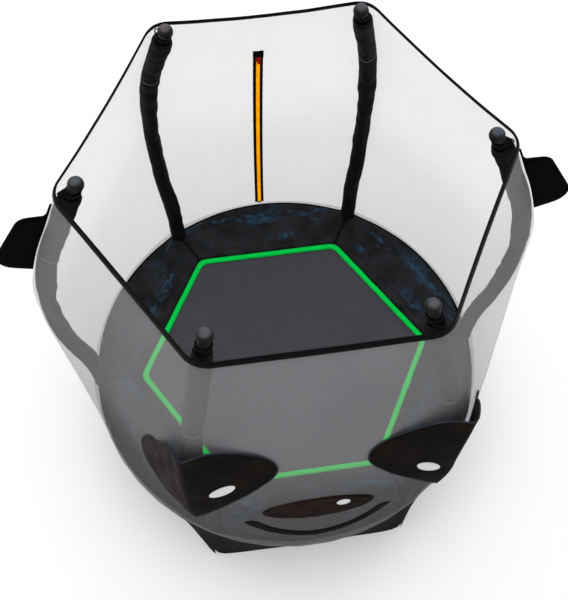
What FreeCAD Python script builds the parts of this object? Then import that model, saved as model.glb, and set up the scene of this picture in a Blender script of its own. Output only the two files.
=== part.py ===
import FreeCAD, Part
import math
import os

# A child's six-sided trampoline with a net enclosure that wears an animal's face.
# Millimetres and degrees. The floor is z = 0, the front faces -Y, and a corner lies on +X.

V = FreeCAD.Vector
ORIGIN = V(0, 0, 0)
UP = V(0, 0, 1)
TOLERANCE = 0.01
OVERCUT = 1.0

# Layout
SIDES = 6
FULL_TURN_DEG = 360.0
SIDE_DEG = FULL_TURN_DEG / SIDES
HALF_SIDE_DEG = SIDE_DEG / 2
CORNER_NAMES = ("right", "rear_right", "rear_left", "left", "front_left", "front_right")
PANEL_NAMES = ("right_rear", "rear", "left_rear", "left_front", "front", "right_front")
FRONT_PANEL = 4
REAR_PANEL = 1
SOFT_GAP = 0.3

# Jump mat
MAT_TOP_Z = 340.0
MAT_THICK = 3.0
MAT_R = 548.0
MAT_HEM_W = 26.0
MAT_HEM_THICK = 2.5

# Tubes
TUBE_R = 14.0
TUBE_WALL = 1.5
POLE_TUBE_R = 12.5
CORNER_R = 686.0
SOCKET_R = 16.5
SOCKET_ARM_R = 16.2
SOCKET_ARM_LEN = 45.0
SOCKET_CORE = 20.0
SOCKET_DROP = 62.0
SOCKET_FLOOR = 4.0
TUBE_SLACK = 0.2

# Suspension straps round the ring
STRAP_COUNT = 36
STRAP_THICK = 2.2
STRAP_W = 22.0

# Legs and feet
LEG_BEND_R = 60.0
LEG_AXIS_Z = 17.0
FOOT_R = 18.0
FOOT_LEN = 60.0
FOOT_SPREAD = 225.0

# Bolts
BOLT_R = 3.0
BOLT_SLACK = 0.2
BOLT_HEAD_R = 6.0
BOLT_HEAD_H = 3.5
BOLT_REACH = 9.0
BOLT_KEY_R = 2.4
BOLT_KEY_DEEP = 2.0
LEG_BOLT_DROP = 40.0

# Pads over the straps
PAD_LIFT = 1.0
PAD_OVER_SOCKET = 0.2
PAD_INNER_CORNER_R = 545.0
PAD_SEAM_HALF = 0.4
PAD_HIGH = 16.8
PAD_LEVELS = ((0.0, 3.0), (3.0, 0.0), (10.0, 0.0), (14.5, 4.0), (16.0, 14.0), (PAD_HIGH, 60.0))
SOCKET_STAND = 14.5
TRIM_W = 21.0
TRIM_H = 10.0
TRIM_ROUND = 2.5

# Enclosure poles: straight, then bowed out, then bowed in
POLE_STRAIGHT_TOP_Z = 360.0
POLE_OUT_BEND_R = 766.0
POLE_OUT_BEND_DEG = 17.8
POLE_IN_BEND_R = 1137.0
POLE_TOP_LEAN_DEG = 22.4
BALL_Z = 1605.0
BALL_R = 24.0
NECK_R = 19.0
NECK_TOP = 16.0
NECK_LEN = 44.0
POLE_END = 8.0

# Foam sleeves
SLEEVE_R = 31.0
SLEEVE_BORE_GAP = 0.5
SLEEVE_TOP_PART_DEG = 5.5
SLEEVE_END_ROUND = 4.0

# Net
NET_THICK = 2.0
NET_BOTTOM_Z = 300.0
NET_TOP_Z = 1558.7
NET_SKIRT_GAP = 1.4
NET_BULGE = 12.0
NET_BULGE_Z = 640.0
NET_ARC_R = 4300.0
NET_ARC_TOP_Z = 1360.0
NET_TOP_MIDDLE_R = 580.0
NET_CREASE_OUT = 37.0
NET_CREASE_TOP_OUT = 55.0
NET_CREASE_TOP_START_Z = 1240.0
NET_LEVELS = (NET_BOTTOM_Z, 350.0, 430.0, 560.0, 720.0, 880.0, 1040.0, 1200.0, 1340.0, 1440.0, 1510.0,
              NET_TOP_Z)
BOTTOM_HEM_H = 20.0
BOTTOM_HEM_THICK = 4.0
RIM_CORNER_OUT = 63.65
RIM_BEND_R = 85.0
RIM_H = 20.0
RIM_THICK = 7.0
TIE_CORD_R = 2.0
TIE_END_R = 5.0

# Skirt
SKIRT_TOP_Z = 350.0
SKIRT_BAND_Z = 296.0
SKIRT_THICK = 1.6
SKIRT_BOTTOM_Z = 4.0
SKIRT_FREE_BOTTOM_Z = 10.0
SKIRT_CORNER_R = 70.0
SKIRT_BOW = 6.0

# Zip on the rear panel
ZIP_BOTTOM_Z = 354.0
ZIP_TOP_Z = 1306.0
ZIP_TAPE_W = 34.5
ZIP_TAPE_THICK = 1.2
ZIP_TAPE_GAP = 0.6
ZIP_TAPE_SPLIT = 0.4
ZIP_SLOT_W = 14.0
ZIP_COIL_W = 11.0
ZIP_COIL_THICK = 2.4
ZIP_STOP_LEN = 6.0
ZIP_END_LEN = 32.0
ZIP_END_W = 36.0
ZIP_STOP_THICK = 1.6
SLIDER_LEN = 24.0
SLIDER_PLATE = 2.2
SLIDER_FLANGE = 2.6
SLIDER_GAP = 0.3
LUG_W = 4.0
LUG_H = 5.8
LUG_LEN = 8.0
PULL_PIN_R = 1.2
PULL_CHEEK_W = 2.4
PULL_THICK = 2.2
PULL_LEN = 24.0
PULL_EYE_LEN = 7.0

# Ears in the plane of the side poles
EAR_THICK = 12.0
EAR_ROUND = 4.0
EAR_SEAT_GAP = 1.1
EAR_TOP_Z = 1466.0
EAR_TIP_Z = 1470.0
EAR_BOTTOM_Z = 1194.0
EAR_TOP_X = 783.0
EAR_OUT_X = 911.0
EAR_OUT_Z = 1240.0
EAR_TOP_ROUND = 50.0
EAR_OUT_ROUND = 60.0

# Face on the front panel, x across and z up
PATCH_THICK = 4.0
PATCH_TIP_X = 135.0
PATCH_STAND_Z = 900.0
PATCH_STAND_LEAN = 0.036
PATCH_FOLD_TOP_Z = 1264.0
PATCH_FOLD_BOTTOM_Z = 685.0
PATCH_FRONT = ((-330.0, 1254.0), (-235.0, 1202.0), (-156.0, 1130.0), (-PATCH_TIP_X, 1057.0),
               (-171.0, 981.0), (-328.0, 800.0))
PATCH_SIDE = ((372.0, 1280.0), (322.0, 1212.0), (262.0, 1106.0), (205.0, 1039.0), (179.0, 930.0),
              (204.0, 829.0), (263.0, 743.0), (330.0, 700.0))
PUPIL_X = 303.0
PUPIL_RIGHT_X = 327.0
PUPIL_Z = 969.0
PUPIL_RIGHT_Z = 940.0
PUPIL_HALF_W = 49.0
PUPIL_HALF_H = 26.0
PUPIL_TILT_DEG = 43.0
PUPIL_RIGHT_TILT_DEG = -48.0
PUPIL_THICK = 1.2
NOSE_X = -4.0
NOSE_Z = 720.0
NOSE_HALF_W = 179.0
NOSE_HALF_H = 81.0
NOSE_THICK = 5.0
GLINT_X = 74.0
GLINT_Z = 748.0
GLINT_HALF_W = 22.0
GLINT_HALF_H = 22.0
MOUTH_HALF_W = 216.0
MOUTH_END_Z = 600.0
MOUTH_LOW_Z = 450.0
MOUTH_W = 50.0
MOUTH_THICK = 3.0

# Levels and radii that follow from the sizes above
PAD_OUTER_R = CORNER_R + SOCKET_R + PAD_OVER_SOCKET
SKIRT_TOP_R = PAD_OUTER_R + SOFT_GAP
NET_BOTTOM_R = SKIRT_TOP_R + SKIRT_THICK + NET_SKIRT_GAP
NET_BULGE_R = NET_BOTTOM_R + NET_BULGE
PAD_BOTTOM_Z = MAT_TOP_Z + PAD_LIFT
RING_Z = PAD_BOTTOM_Z - 2 * SOFT_GAP - STRAP_THICK - TUBE_R
SOCKET_TOP_Z = PAD_BOTTOM_Z + SOCKET_STAND
SLEEVE_FOOT_Z = PAD_BOTTOM_Z + PAD_HIGH + SOFT_GAP
LEG_TOP_Z = RING_Z - SOCKET_CORE - SOFT_GAP
POLE_FOOT_Z = RING_Z - SOCKET_CORE + SOCKET_FLOOR
COS_HALF = math.cos(math.radians(HALF_SIDE_DEG))
SIN_HALF = math.sin(math.radians(HALF_SIDE_DEG))


def save(node, *solids):
    """Writes one node, as a single solid or a group of separate ones."""
    shape = solids[0] if len(solids) == 1 else Part.makeCompound(list(solids))
    shape.exportStep("parts/" + node + ".step")


def turned(shape, degrees):
    """A copy turned about the upright axis."""
    copy = shape.copy()
    copy.rotate(ORIGIN, UP, degrees)
    return copy


def all_round(shape, count=SIDES, start=0.0):
    """Copies of a shape evenly round the upright axis."""
    return [turned(shape, start + FULL_TURN_DEG * k / count) for k in range(count)]


def polar(radius, degrees, z):
    a = math.radians(degrees)
    return V(radius * math.cos(a), radius * math.sin(a), z)


def prism(points, direction):
    """A straight-edged outline pushed along a direction."""
    return Part.Face(Part.makePolygon(list(points) + [points[0]])).extrude(direction)


def box(x0, x1, y0, y1, z0, z1):
    return Part.makeBox(x1 - x0, y1 - y0, z1 - z0, V(x0, y0, z0))


def torus_sector(radius, inner_radius, ring_r, z, start_deg, end_deg):
    """A length of round bar or tube bent round the upright axis."""
    centre = V(ring_r, 0, z)
    face = Part.Face(Part.Wire(Part.makeCircle(radius, centre, V(0, 1, 0))))
    if inner_radius:
        face = face.cut(Part.Face(Part.Wire(Part.makeCircle(inner_radius, centre, V(0, 1, 0)))))
    face.rotate(ORIGIN, UP, start_deg)
    return face.revolve(ORIGIN, UP, end_deg - start_deg)


def pipe(edges, radius):
    """A round bar along tangent lines and arcs."""
    wire = Part.Wire(edges)
    first = edges[0]
    start = first.valueAt(first.FirstParameter)
    heading = first.tangentAt(first.FirstParameter)
    circle = Part.Wire(Part.makeCircle(radius, start, heading))
    return wire.makePipeShell([circle], True, False)


def tube(edges, radius, wall):
    return pipe(edges, radius).cut(pipe(edges, radius - wall))


# Poles

class PolePath:
    """Walks along a pole in its upright plane, as (radius, height) with a lean from upright."""

    def __init__(self, z):
        self.r = CORNER_R
        self.z = z
        self.lean = 0.0
        self.edges = []

    def point(self):
        return V(self.r, 0, self.z)

    def straight(self, length):
        start = self.point()
        self.r += length * math.sin(self.lean)
        self.z += length * math.cos(self.lean)
        self.edges.append(Part.LineSegment(start, self.point()).toShape())

    def bend(self, radius, degrees):
        """Turns outward for positive degrees and inward for negative ones."""
        start = self.point()
        side = 1.0 if degrees > 0 else -1.0
        centre_r = self.r + side * radius * math.cos(self.lean)
        centre_z = self.z - side * radius * math.sin(self.lean)
        ends = []
        for share in (0.5, 1.0):
            lean = self.lean + math.radians(degrees) * share
            r = centre_r - side * radius * math.cos(lean)
            z = centre_z + side * radius * math.sin(lean)
            ends.append(V(r, 0, z))
        self.lean += math.radians(degrees)
        self.r = ends[1].x
        self.z = ends[1].z
        self.edges.append(Part.Arc(start, ends[0], ends[1]).toShape())

    def restart(self):
        """Begins a new piece at the present place."""
        self.edges = []


POLE_IN_BEND_DEG = POLE_OUT_BEND_DEG + POLE_TOP_LEAN_DEG


def pole_path(start_z, end_back):
    """The whole pole from a height up to a distance short of the ball's centre."""
    path = PolePath(start_z)
    path.straight(POLE_STRAIGHT_TOP_Z - start_z)
    path.bend(POLE_OUT_BEND_R, POLE_OUT_BEND_DEG)
    path.bend(POLE_IN_BEND_R, -POLE_IN_BEND_DEG)
    path.straight((BALL_Z - path.z) / math.cos(path.lean) - end_back)
    return path


def pole_radius(z):
    """Distance of the pole's centre line from the upright axis at a height."""
    out_lean = math.radians(POLE_OUT_BEND_DEG)
    top_lean = math.radians(POLE_TOP_LEAN_DEG)
    first_z = POLE_STRAIGHT_TOP_Z + POLE_OUT_BEND_R * math.sin(out_lean)
    first_r = CORNER_R + POLE_OUT_BEND_R * (1 - math.cos(out_lean))
    centre_r = first_r - POLE_IN_BEND_R * math.cos(out_lean)
    centre_z = first_z + POLE_IN_BEND_R * math.sin(out_lean)
    second_z = centre_z + POLE_IN_BEND_R * math.sin(top_lean)
    second_r = centre_r + POLE_IN_BEND_R * math.cos(top_lean)
    if z <= POLE_STRAIGHT_TOP_Z:
        return CORNER_R
    if z <= first_z:
        return CORNER_R + POLE_OUT_BEND_R - math.sqrt(POLE_OUT_BEND_R ** 2 - (z - POLE_STRAIGHT_TOP_Z) ** 2)
    if z <= second_z:
        return centre_r + math.sqrt(POLE_IN_BEND_R ** 2 - (z - centre_z) ** 2)
    return second_r - (z - second_z) * math.tan(top_lean)


BALL_CENTRE_R = pole_radius(BALL_Z)
TOP_LEAN = math.radians(-POLE_TOP_LEAN_DEG)
TOP_WAY = V(math.sin(TOP_LEAN), 0, math.cos(TOP_LEAN))
BALL_CENTRE = V(BALL_CENTRE_R, 0, BALL_Z)


def bolt_cutter(z):
    start = V(CORNER_R - SOCKET_R - BOLT_HEAD_H, 0, z)
    return Part.makeCylinder(BOLT_R + BOLT_SLACK, BOLT_REACH + 2 * BOLT_HEAD_H, start, V(1, 0, 0))


def bolt(z):
    """A button screw that enters the socket from the inside."""
    seat = V(CORNER_R - SOCKET_R, 0, z)
    head_start = seat - V(BOLT_HEAD_H, 0, 0)
    head = Part.makeCylinder(BOLT_HEAD_R, BOLT_HEAD_H, head_start, V(1, 0, 0))
    rim = [e for e in head.Edges if abs(e.CenterOfMass.x - head_start.x) < TOLERANCE]
    head = head.makeFillet(BOLT_HEAD_H / 3, rim)
    shank = Part.makeCylinder(BOLT_R, BOLT_REACH, seat, V(1, 0, 0))
    hexagon = [V(head_start.x, BOLT_KEY_R * math.cos(math.radians(60 * k)),
                 z + BOLT_KEY_R * math.sin(math.radians(60 * k))) for k in range(6)]
    return head.fuse(shank).cut(prism(hexagon, V(BOLT_KEY_DEEP, 0, 0)))


BOLT_LEVELS = (RING_Z, RING_Z - LEG_BOLT_DROP)


def make_poles():
    path = pole_path(POLE_FOOT_Z + SOFT_GAP, POLE_END)
    pole = tube(path.edges, POLE_TUBE_R, TUBE_WALL).cut(bolt_cutter(BOLT_LEVELS[0]))
    for k, name in enumerate(CORNER_NAMES):
        save("pole_" + name, turned(pole, k * SIDE_DEG))


def sleeve_part(edges):
    """One length of foam with its fabric cover, open for the pole."""
    solid = pipe(edges, SLEEVE_R).cut(pipe(edges, POLE_TUBE_R + SLEEVE_BORE_GAP))
    rings = [e for e in solid.Edges if isinstance(e.Curve, Part.Circle)]
    outer = [e for e in rings if abs(e.Curve.Radius - SLEEVE_R) < TOLERANCE]
    return solid.makeFillet(SLEEVE_END_ROUND, outer)


def make_sleeves():
    path = PolePath(SLEEVE_FOOT_Z)
    path.straight(POLE_STRAIGHT_TOP_Z - SLEEVE_FOOT_Z)
    path.bend(POLE_OUT_BEND_R, POLE_OUT_BEND_DEG)
    path.bend(POLE_IN_BEND_R, -(POLE_IN_BEND_DEG - SLEEVE_TOP_PART_DEG))
    lower = sleeve_part(path.edges)
    path.restart()
    path.bend(POLE_IN_BEND_R, -SLEEVE_TOP_PART_DEG)
    neck_foot = NECK_TOP + NECK_LEN + SOFT_GAP
    path.straight((BALL_Z - path.z) / math.cos(path.lean) - neck_foot)
    upper = sleeve_part(path.edges)
    for k, name in enumerate(CORNER_NAMES):
        save("foam_sleeve_" + name, turned(lower, k * SIDE_DEG), turned(upper, k * SIDE_DEG))


def make_ball_caps():
    neck_foot = BALL_CENTRE - TOP_WAY * (NECK_TOP + NECK_LEN)
    cap = Part.makeSphere(BALL_R, BALL_CENTRE)
    cap = cap.fuse(Part.makeCylinder(NECK_R, NECK_LEN + NECK_TOP, neck_foot, TOP_WAY))
    bore_len = NECK_LEN + NECK_TOP - POLE_END + SOFT_GAP
    cap = cap.cut(Part.makeCylinder(POLE_TUBE_R + TUBE_SLACK, bore_len, neck_foot, TOP_WAY))
    save("ball_caps", *all_round(cap))


# Steel frame

def make_ring():
    core_deg = math.degrees((SOCKET_CORE + SOFT_GAP) / CORNER_R)
    arc = torus_sector(TUBE_R, TUBE_R - TUBE_WALL, CORNER_R, RING_Z, core_deg, SIDE_DEG - core_deg)
    save("ring_tubes", *all_round(arc))


def make_sockets():
    """A post for the leg and the pole, with an arm each way for the ring."""
    arm_deg = math.degrees(SOCKET_ARM_LEN / CORNER_R)
    core_deg = math.degrees(SOCKET_CORE / CORNER_R)
    foot_z = RING_Z - SOCKET_DROP
    body = Part.makeCylinder(SOCKET_R, SOCKET_TOP_Z - foot_z, V(CORNER_R, 0, foot_z))
    body = body.fuse(torus_sector(SOCKET_ARM_R, 0, CORNER_R, RING_Z, -arm_deg, arm_deg))
    leg_bore_len = LEG_TOP_Z + SOFT_GAP - foot_z
    body = body.cut(Part.makeCylinder(TUBE_R + TUBE_SLACK, leg_bore_len, V(CORNER_R, 0, foot_z)))
    pole_bore_len = SOCKET_TOP_Z - POLE_FOOT_Z
    body = body.cut(Part.makeCylinder(POLE_TUBE_R + TUBE_SLACK, pole_bore_len, V(CORNER_R, 0, POLE_FOOT_Z)))
    beyond = arm_deg + math.degrees(OVERCUT / CORNER_R)
    for start, end in ((-beyond, -core_deg), (core_deg, beyond)):
        body = body.cut(torus_sector(TUBE_R + TUBE_SLACK, 0, CORNER_R, RING_Z, start, end))
    for z in BOLT_LEVELS:
        body = body.cut(bolt_cutter(z))
    save("corner_sockets", *all_round(body))
    save("socket_bolts", *[b for z in BOLT_LEVELS for b in all_round(bolt(z))])


def leg_edges():
    """A U from one socket down along the floor and up to the next, on the side that faces +X."""
    x = CORNER_R * COS_HALF
    half = CORNER_R * SIN_HALF
    low = LEG_AXIS_Z
    bend = LEG_BEND_R
    near = bend * (1 - math.sqrt(0.5))
    top_left = V(x, -half, LEG_TOP_Z)
    left = [V(x, -half, low + bend), V(x, -half + near, low + near), V(x, -half + bend, low)]
    right = [V(x, -p.y, p.z) for p in reversed(left)]
    top_right = V(x, half, LEG_TOP_Z)
    return [
        Part.LineSegment(top_left, left[0]).toShape(),
        Part.Arc(*left).toShape(),
        Part.LineSegment(left[2], right[0]).toShape(),
        Part.Arc(*right).toShape(),
        Part.LineSegment(right[2], top_right).toShape(),
    ]


LEG_PANELS = range(0, SIDES, 2)


def make_legs():
    leg = tube(leg_edges(), TUBE_R, TUBE_WALL)
    for side in (-HALF_SIDE_DEG, HALF_SIDE_DEG):
        leg = leg.cut(turned(bolt_cutter(BOLT_LEVELS[1]), side))
    x = CORNER_R * COS_HALF
    feet = []
    for side in (-1, 1):
        start = V(x, side * FOOT_SPREAD - FOOT_LEN / 2, LEG_AXIS_Z)
        foot = Part.makeCylinder(FOOT_R, FOOT_LEN, start, V(0, 1, 0))
        foot = foot.cut(Part.makeCylinder(TUBE_R + TUBE_SLACK, FOOT_LEN, start, V(0, 1, 0)))
        ends = (start.y - OVERCUT, start.y + FOOT_LEN + OVERCUT)
        foot = foot.cut(box(x - FOOT_R, x + FOOT_R, ends[0], ends[1], -FOOT_R, 0))
        feet.append(foot)
    all_feet = []
    for panel in LEG_PANELS:
        angle = panel * SIDE_DEG + HALF_SIDE_DEG
        save("leg_" + PANEL_NAMES[panel], turned(leg, angle))
        all_feet += [turned(foot, angle) for foot in feet]
    save("rubber_feet", *all_feet)


# Bed

def make_mat():
    mat = Part.makeCylinder(MAT_R, MAT_THICK, V(0, 0, MAT_TOP_Z - MAT_THICK))
    save("jump_mat", mat)
    hem_z = MAT_TOP_Z - MAT_THICK - MAT_HEM_THICK
    hem = Part.makeCylinder(MAT_R, MAT_HEM_THICK, V(0, 0, hem_z))
    hem = hem.cut(Part.makeCylinder(MAT_R - MAT_HEM_W, MAT_HEM_THICK, V(0, 0, hem_z)))
    save("mat_hem", hem)


def make_straps():
    """Elastic loops from the mat's edge round the ring tube and back."""
    outer_r = TUBE_R + SOFT_GAP + STRAP_THICK
    inner_r = outer_r - STRAP_THICK
    end_x = MAT_R + SOFT_GAP
    end_low_z = MAT_TOP_Z - MAT_THICK - MAT_HEM_THICK
    end_top_z = MAT_TOP_Z
    run = CORNER_R - end_x
    drop = RING_Z - end_low_z
    slope = math.atan2(drop, run) - math.asin(outer_r / math.hypot(run, drop))
    down = V(math.sin(slope), 0, -math.cos(slope))
    centre = V(CORNER_R, 0, RING_Z)
    along = V(math.cos(slope), 0, math.sin(slope))
    low = centre + down * outer_r
    top = centre + V(0, 0, outer_r)
    far = centre + V(outer_r, 0, 0)
    outer = Part.Wire([
        Part.LineSegment(V(end_x, 0, end_low_z), low).toShape(),
        Part.Arc(low, far, top).toShape(),
        Part.LineSegment(top, V(end_x, 0, end_top_z)).toShape(),
        Part.LineSegment(V(end_x, 0, end_top_z), V(end_x, 0, end_low_z)).toShape(),
    ])
    in_low = centre + down * inner_r
    in_top = centre + V(0, 0, inner_r)
    meet = in_low - along * ((in_top.z - in_low.z) / -math.sin(slope))
    inner = Part.Wire([
        Part.LineSegment(meet, in_low).toShape(),
        Part.Arc(in_low, centre + V(inner_r, 0, 0), in_top).toShape(),
        Part.LineSegment(in_top, meet).toShape(),
    ])
    strap = Part.Face(outer).cut(Part.Face(inner)).extrude(V(0, STRAP_W, 0))
    strap.translate(V(0, -STRAP_W / 2, 0))
    save("suspension_straps", *all_round(strap, STRAP_COUNT, FULL_TURN_DEG / STRAP_COUNT / 2))


def pad_outline(inset, z):
    """One pad's outline on the side that faces +X, drawn in by an inset."""
    inner_x = PAD_INNER_CORNER_R * COS_HALF + inset
    outer_r = PAD_OUTER_R - inset
    seam = PAD_SEAM_HALF + inset
    inner_y = inner_x * SIN_HALF / COS_HALF - seam / COS_HALF
    outer_deg = HALF_SIDE_DEG - math.degrees(math.asin(seam / outer_r))
    a = V(inner_x, -inner_y, z)
    b = V(inner_x, inner_y, z)
    c = polar(outer_r, outer_deg, z)
    d = polar(outer_r, -outer_deg, z)
    return Part.Wire([
        Part.LineSegment(a, d).toShape(),
        Part.Arc(d, V(outer_r, 0, z), c).toShape(),
        Part.LineSegment(c, b).toShape(),
        Part.LineSegment(b, a).toShape(),
    ])


def hexagon(apothem, z):
    corners = [polar(apothem / COS_HALF, k * SIDE_DEG, z) for k in range(SIDES)]
    return Part.makePolygon(corners + [corners[0]])


def make_pads():
    pad = Part.makeLoft([pad_outline(inset, PAD_BOTTOM_Z + z) for z, inset in PAD_LEVELS], True, True)
    notch_z = PAD_BOTTOM_Z - OVERCUT
    notch_h = PAD_HIGH + 2 * OVERCUT
    for side in (-HALF_SIDE_DEG, HALF_SIDE_DEG):
        pad = pad.cut(Part.makeCylinder(SOCKET_R + SOFT_GAP, notch_h, polar(CORNER_R, side, notch_z)))
    for panel, name in enumerate(PANEL_NAMES):
        save("pad_" + name, turned(pad, panel * SIDE_DEG + HALF_SIDE_DEG))
    outer = PAD_INNER_CORNER_R * COS_HALF - SOFT_GAP
    inner = outer - TRIM_W
    steps = ((0.0, 1.0), (TRIM_ROUND, 0.0), (TRIM_H - TRIM_ROUND, 0.0), (TRIM_H, 1.0))
    rings = []
    for apothem, sign in ((outer, -1), (inner, 1)):
        wires = [hexagon(apothem + sign * TRIM_ROUND * share, PAD_BOTTOM_Z + z) for z, share in steps]
        rings.append(Part.makeLoft(wires, True, True))
    save("pad_inner_trim", rings[0].cut(rings[1]))


# Net

def net_middle(z):
    """Inner radius of the net halfway between two poles."""
    if z <= NET_BOTTOM_Z:
        return NET_BOTTOM_R
    arc = NET_BULGE_R - NET_ARC_R + math.sqrt(NET_ARC_R ** 2 - (z - NET_BULGE_Z) ** 2)
    if z <= NET_ARC_TOP_Z:
        return arc
    top_arc = NET_BULGE_R - NET_ARC_R + math.sqrt(NET_ARC_R ** 2 - (NET_TOP_Z - NET_BULGE_Z) ** 2)
    share = (z - NET_ARC_TOP_Z) / (NET_TOP_Z - NET_ARC_TOP_Z)
    return arc - (top_arc - NET_TOP_MIDDLE_R) * share ** 2


def net_crease(z):
    """Inner radius of the net where it folds round a pole."""
    if z <= SLEEVE_FOOT_Z:
        share = max(0.0, (z - NET_BOTTOM_Z) / (SLEEVE_FOOT_Z - NET_BOTTOM_Z))
        return NET_BOTTOM_R + (CORNER_R + NET_CREASE_OUT - NET_BOTTOM_R) * share
    share = max(0.0, (z - NET_CREASE_TOP_START_Z) / (NET_TOP_Z - NET_CREASE_TOP_START_Z))
    return pole_radius(z) + NET_CREASE_OUT + (NET_CREASE_TOP_OUT - NET_CREASE_OUT) * share ** 2


def net_row(z, off):
    """Two creases and the middle between them, at a distance outside the net's inner face."""
    corner = polar(net_crease(z) + off / COS_HALF, HALF_SIDE_DEG, z)
    return [V(corner.x, -corner.y, z), V(net_middle(z) + off, 0, z), corner]


def patch_row(z, off):
    """The same for an eye patch, whose fold stands off the net while its tip meets it."""
    if z <= PATCH_STAND_Z:
        return net_row(z, off)
    near, middle, far = net_row(z, off)
    tip_x = bowed_height(middle.x, far, PATCH_TIP_X)
    crease = net_crease(PATCH_STAND_Z) + PATCH_STAND_LEAN * (z - PATCH_STAND_Z)
    corner = polar(crease + off / COS_HALF, HALF_SIDE_DEG, z)
    stand = corner.x - tip_x
    centre_x = (corner.x ** 2 + corner.y ** 2 - tip_x ** 2 - PATCH_TIP_X ** 2) / (2 * stand)
    radius = math.hypot(centre_x - tip_x, PATCH_TIP_X)
    return [V(corner.x, -corner.y, z), V(centre_x - math.copysign(radius, stand), 0, z), corner]


def bowed_height(middle_x, corner, across):
    """How far out the level arc through a middle and two mirrored corners lies at a distance across."""
    rise = middle_x - corner.x
    radius = (corner.y ** 2 + rise ** 2) / (2 * rise)
    return middle_x - radius + math.copysign(math.sqrt(radius ** 2 - across ** 2), radius)


def wall_section(z, inside, outside, row):
    """A level cut through a skin that lies between two distances outside the net's inner face."""
    near = row(z, inside)
    far = row(z, outside)
    return Part.Wire([
        Part.Arc(*far).toShape(),
        Part.LineSegment(far[2], near[2]).toShape(),
        Part.Arc(*reversed(near)).toShape(),
        Part.LineSegment(near[0], far[0]).toShape(),
    ])


def wall_skin(inside, outside, row=net_row):
    """A skin that follows one side of the net, facing +X."""
    return Part.makeLoft([wall_section(z, inside, outside, row) for z in NET_LEVELS], True, False)


def panel_deg(panel):
    return panel * SIDE_DEG + HALF_SIDE_DEG


def make_net():
    panel = wall_skin(0, NET_THICK)
    for k, name in enumerate(PANEL_NAMES):
        shape = turned(panel, panel_deg(k))
        if k == REAR_PANEL:
            shape = shape.cut(zip_strip(-ZIP_SLOT_W / 2, ZIP_SLOT_W / 2, 2 * NET_THICK, -NET_THICK))
        save("net_" + name, shape)
    hem_z = NET_BOTTOM_Z - SOFT_GAP - BOTTOM_HEM_H
    hem_in = NET_BOTTOM_R + NET_THICK / 2 - BOTTOM_HEM_THICK / 2
    hem = Part.makeCylinder(hem_in + BOTTOM_HEM_THICK, BOTTOM_HEM_H, V(0, 0, hem_z))
    save("net_bottom_hem", hem.cut(Part.makeCylinder(hem_in, BOTTOM_HEM_H, V(0, 0, hem_z))))


RIM_BOTTOM_Z = NET_TOP_Z + SOFT_GAP
RIM_CORNER_R = pole_radius(RIM_BOTTOM_Z + RIM_H / 2) + RIM_CORNER_OUT


def rim_outline(off):
    """The rim's plan, bowed in a little along each side."""
    edges = []
    for k in range(SIDES):
        start = polar(RIM_CORNER_R + off / COS_HALF, k * SIDE_DEG, RIM_BOTTOM_Z)
        middle = polar(NET_TOP_MIDDLE_R + off, (k + 0.5) * SIDE_DEG, RIM_BOTTOM_Z)
        end = polar(RIM_CORNER_R + off / COS_HALF, (k + 1) * SIDE_DEG, RIM_BOTTOM_Z)
        edges.append(Part.Arc(start, middle, end).toShape())
    return Part.Face(Part.Wire(edges)).extrude(V(0, 0, RIM_H))


def rounded_corners(solid, radius):
    upright = [e for e in solid.Edges if abs(e.BoundBox.ZLength - RIM_H) < TOLERANCE]
    return solid.makeFillet(radius, upright)


def make_rim():
    outer = rounded_corners(rim_outline(NET_THICK / 2 + RIM_THICK / 2), RIM_BEND_R)
    inner = rounded_corners(rim_outline(NET_THICK / 2 - RIM_THICK / 2), RIM_BEND_R - RIM_THICK)
    save("rim_hem", outer.cut(inner))
    save("tie_cords", *all_round(tie_cord()))


def tie_cord():
    """A loop of cord from under a ball cap to the rim's corner."""
    z = RIM_BOTTOM_Z + RIM_H / 2
    neck_r = NECK_R / math.cos(TOP_LEAN)
    loop_r = neck_r + SOFT_GAP + TIE_CORD_R
    centre_x = pole_radius(z)
    corner_in = RIM_CORNER_R - (RIM_BEND_R - RIM_THICK) * (1 / COS_HALF - 1) - RIM_THICK / COS_HALF
    end_x = corner_in - TIE_END_R - TIE_CORD_R - SOFT_GAP
    turn = math.acos((loop_r - TIE_END_R) / (end_x - centre_x))
    big = [V(centre_x + loop_r * math.cos(a), loop_r * math.sin(a), z) for a in (turn, math.pi, -turn)]
    small = [V(end_x + TIE_END_R * math.cos(a), TIE_END_R * math.sin(a), z) for a in (-turn, 0, turn)]
    edges = [
        Part.LineSegment(small[2], big[0]).toShape(),
        Part.Arc(*big).toShape(),
        Part.LineSegment(big[2], small[0]).toShape(),
        Part.Arc(*small).toShape(),
    ]
    return pipe(edges, TIE_CORD_R)


# Skirt

def skirt_section(z, on_ring):
    """A level cut through a skirt, which follows the ring above and bows only a little below."""
    rows = []
    for r in (SKIRT_TOP_R, SKIRT_TOP_R + SKIRT_THICK):
        middle = r if on_ring else r * COS_HALF + SKIRT_BOW
        rows.append([polar(r, -HALF_SIDE_DEG, z), V(middle, 0, z), polar(r, HALF_SIDE_DEG, z)])
    near, far = rows
    return Part.Wire([
        Part.Arc(*far).toShape(),
        Part.LineSegment(far[2], near[2]).toShape(),
        Part.Arc(*reversed(near)).toShape(),
        Part.LineSegment(near[0], far[0]).toShape(),
    ])


def make_skirts():
    for panel, name in enumerate(PANEL_NAMES):
        on_leg = panel in LEG_PANELS
        bottom = SKIRT_BOTTOM_Z if on_leg else SKIRT_FREE_BOTTOM_Z
        sections = [
            skirt_section(bottom, False),
            skirt_section(SKIRT_BAND_Z, True),
            skirt_section(SKIRT_TOP_Z, True),
        ]
        skirt = Part.makeLoft(sections, True, True)
        if on_leg:
            skirt = skirt.cut(skirt_corner(1)).cut(skirt_corner(-1))
        save("skirt_" + name, turned(skirt, panel_deg(panel)))


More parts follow.
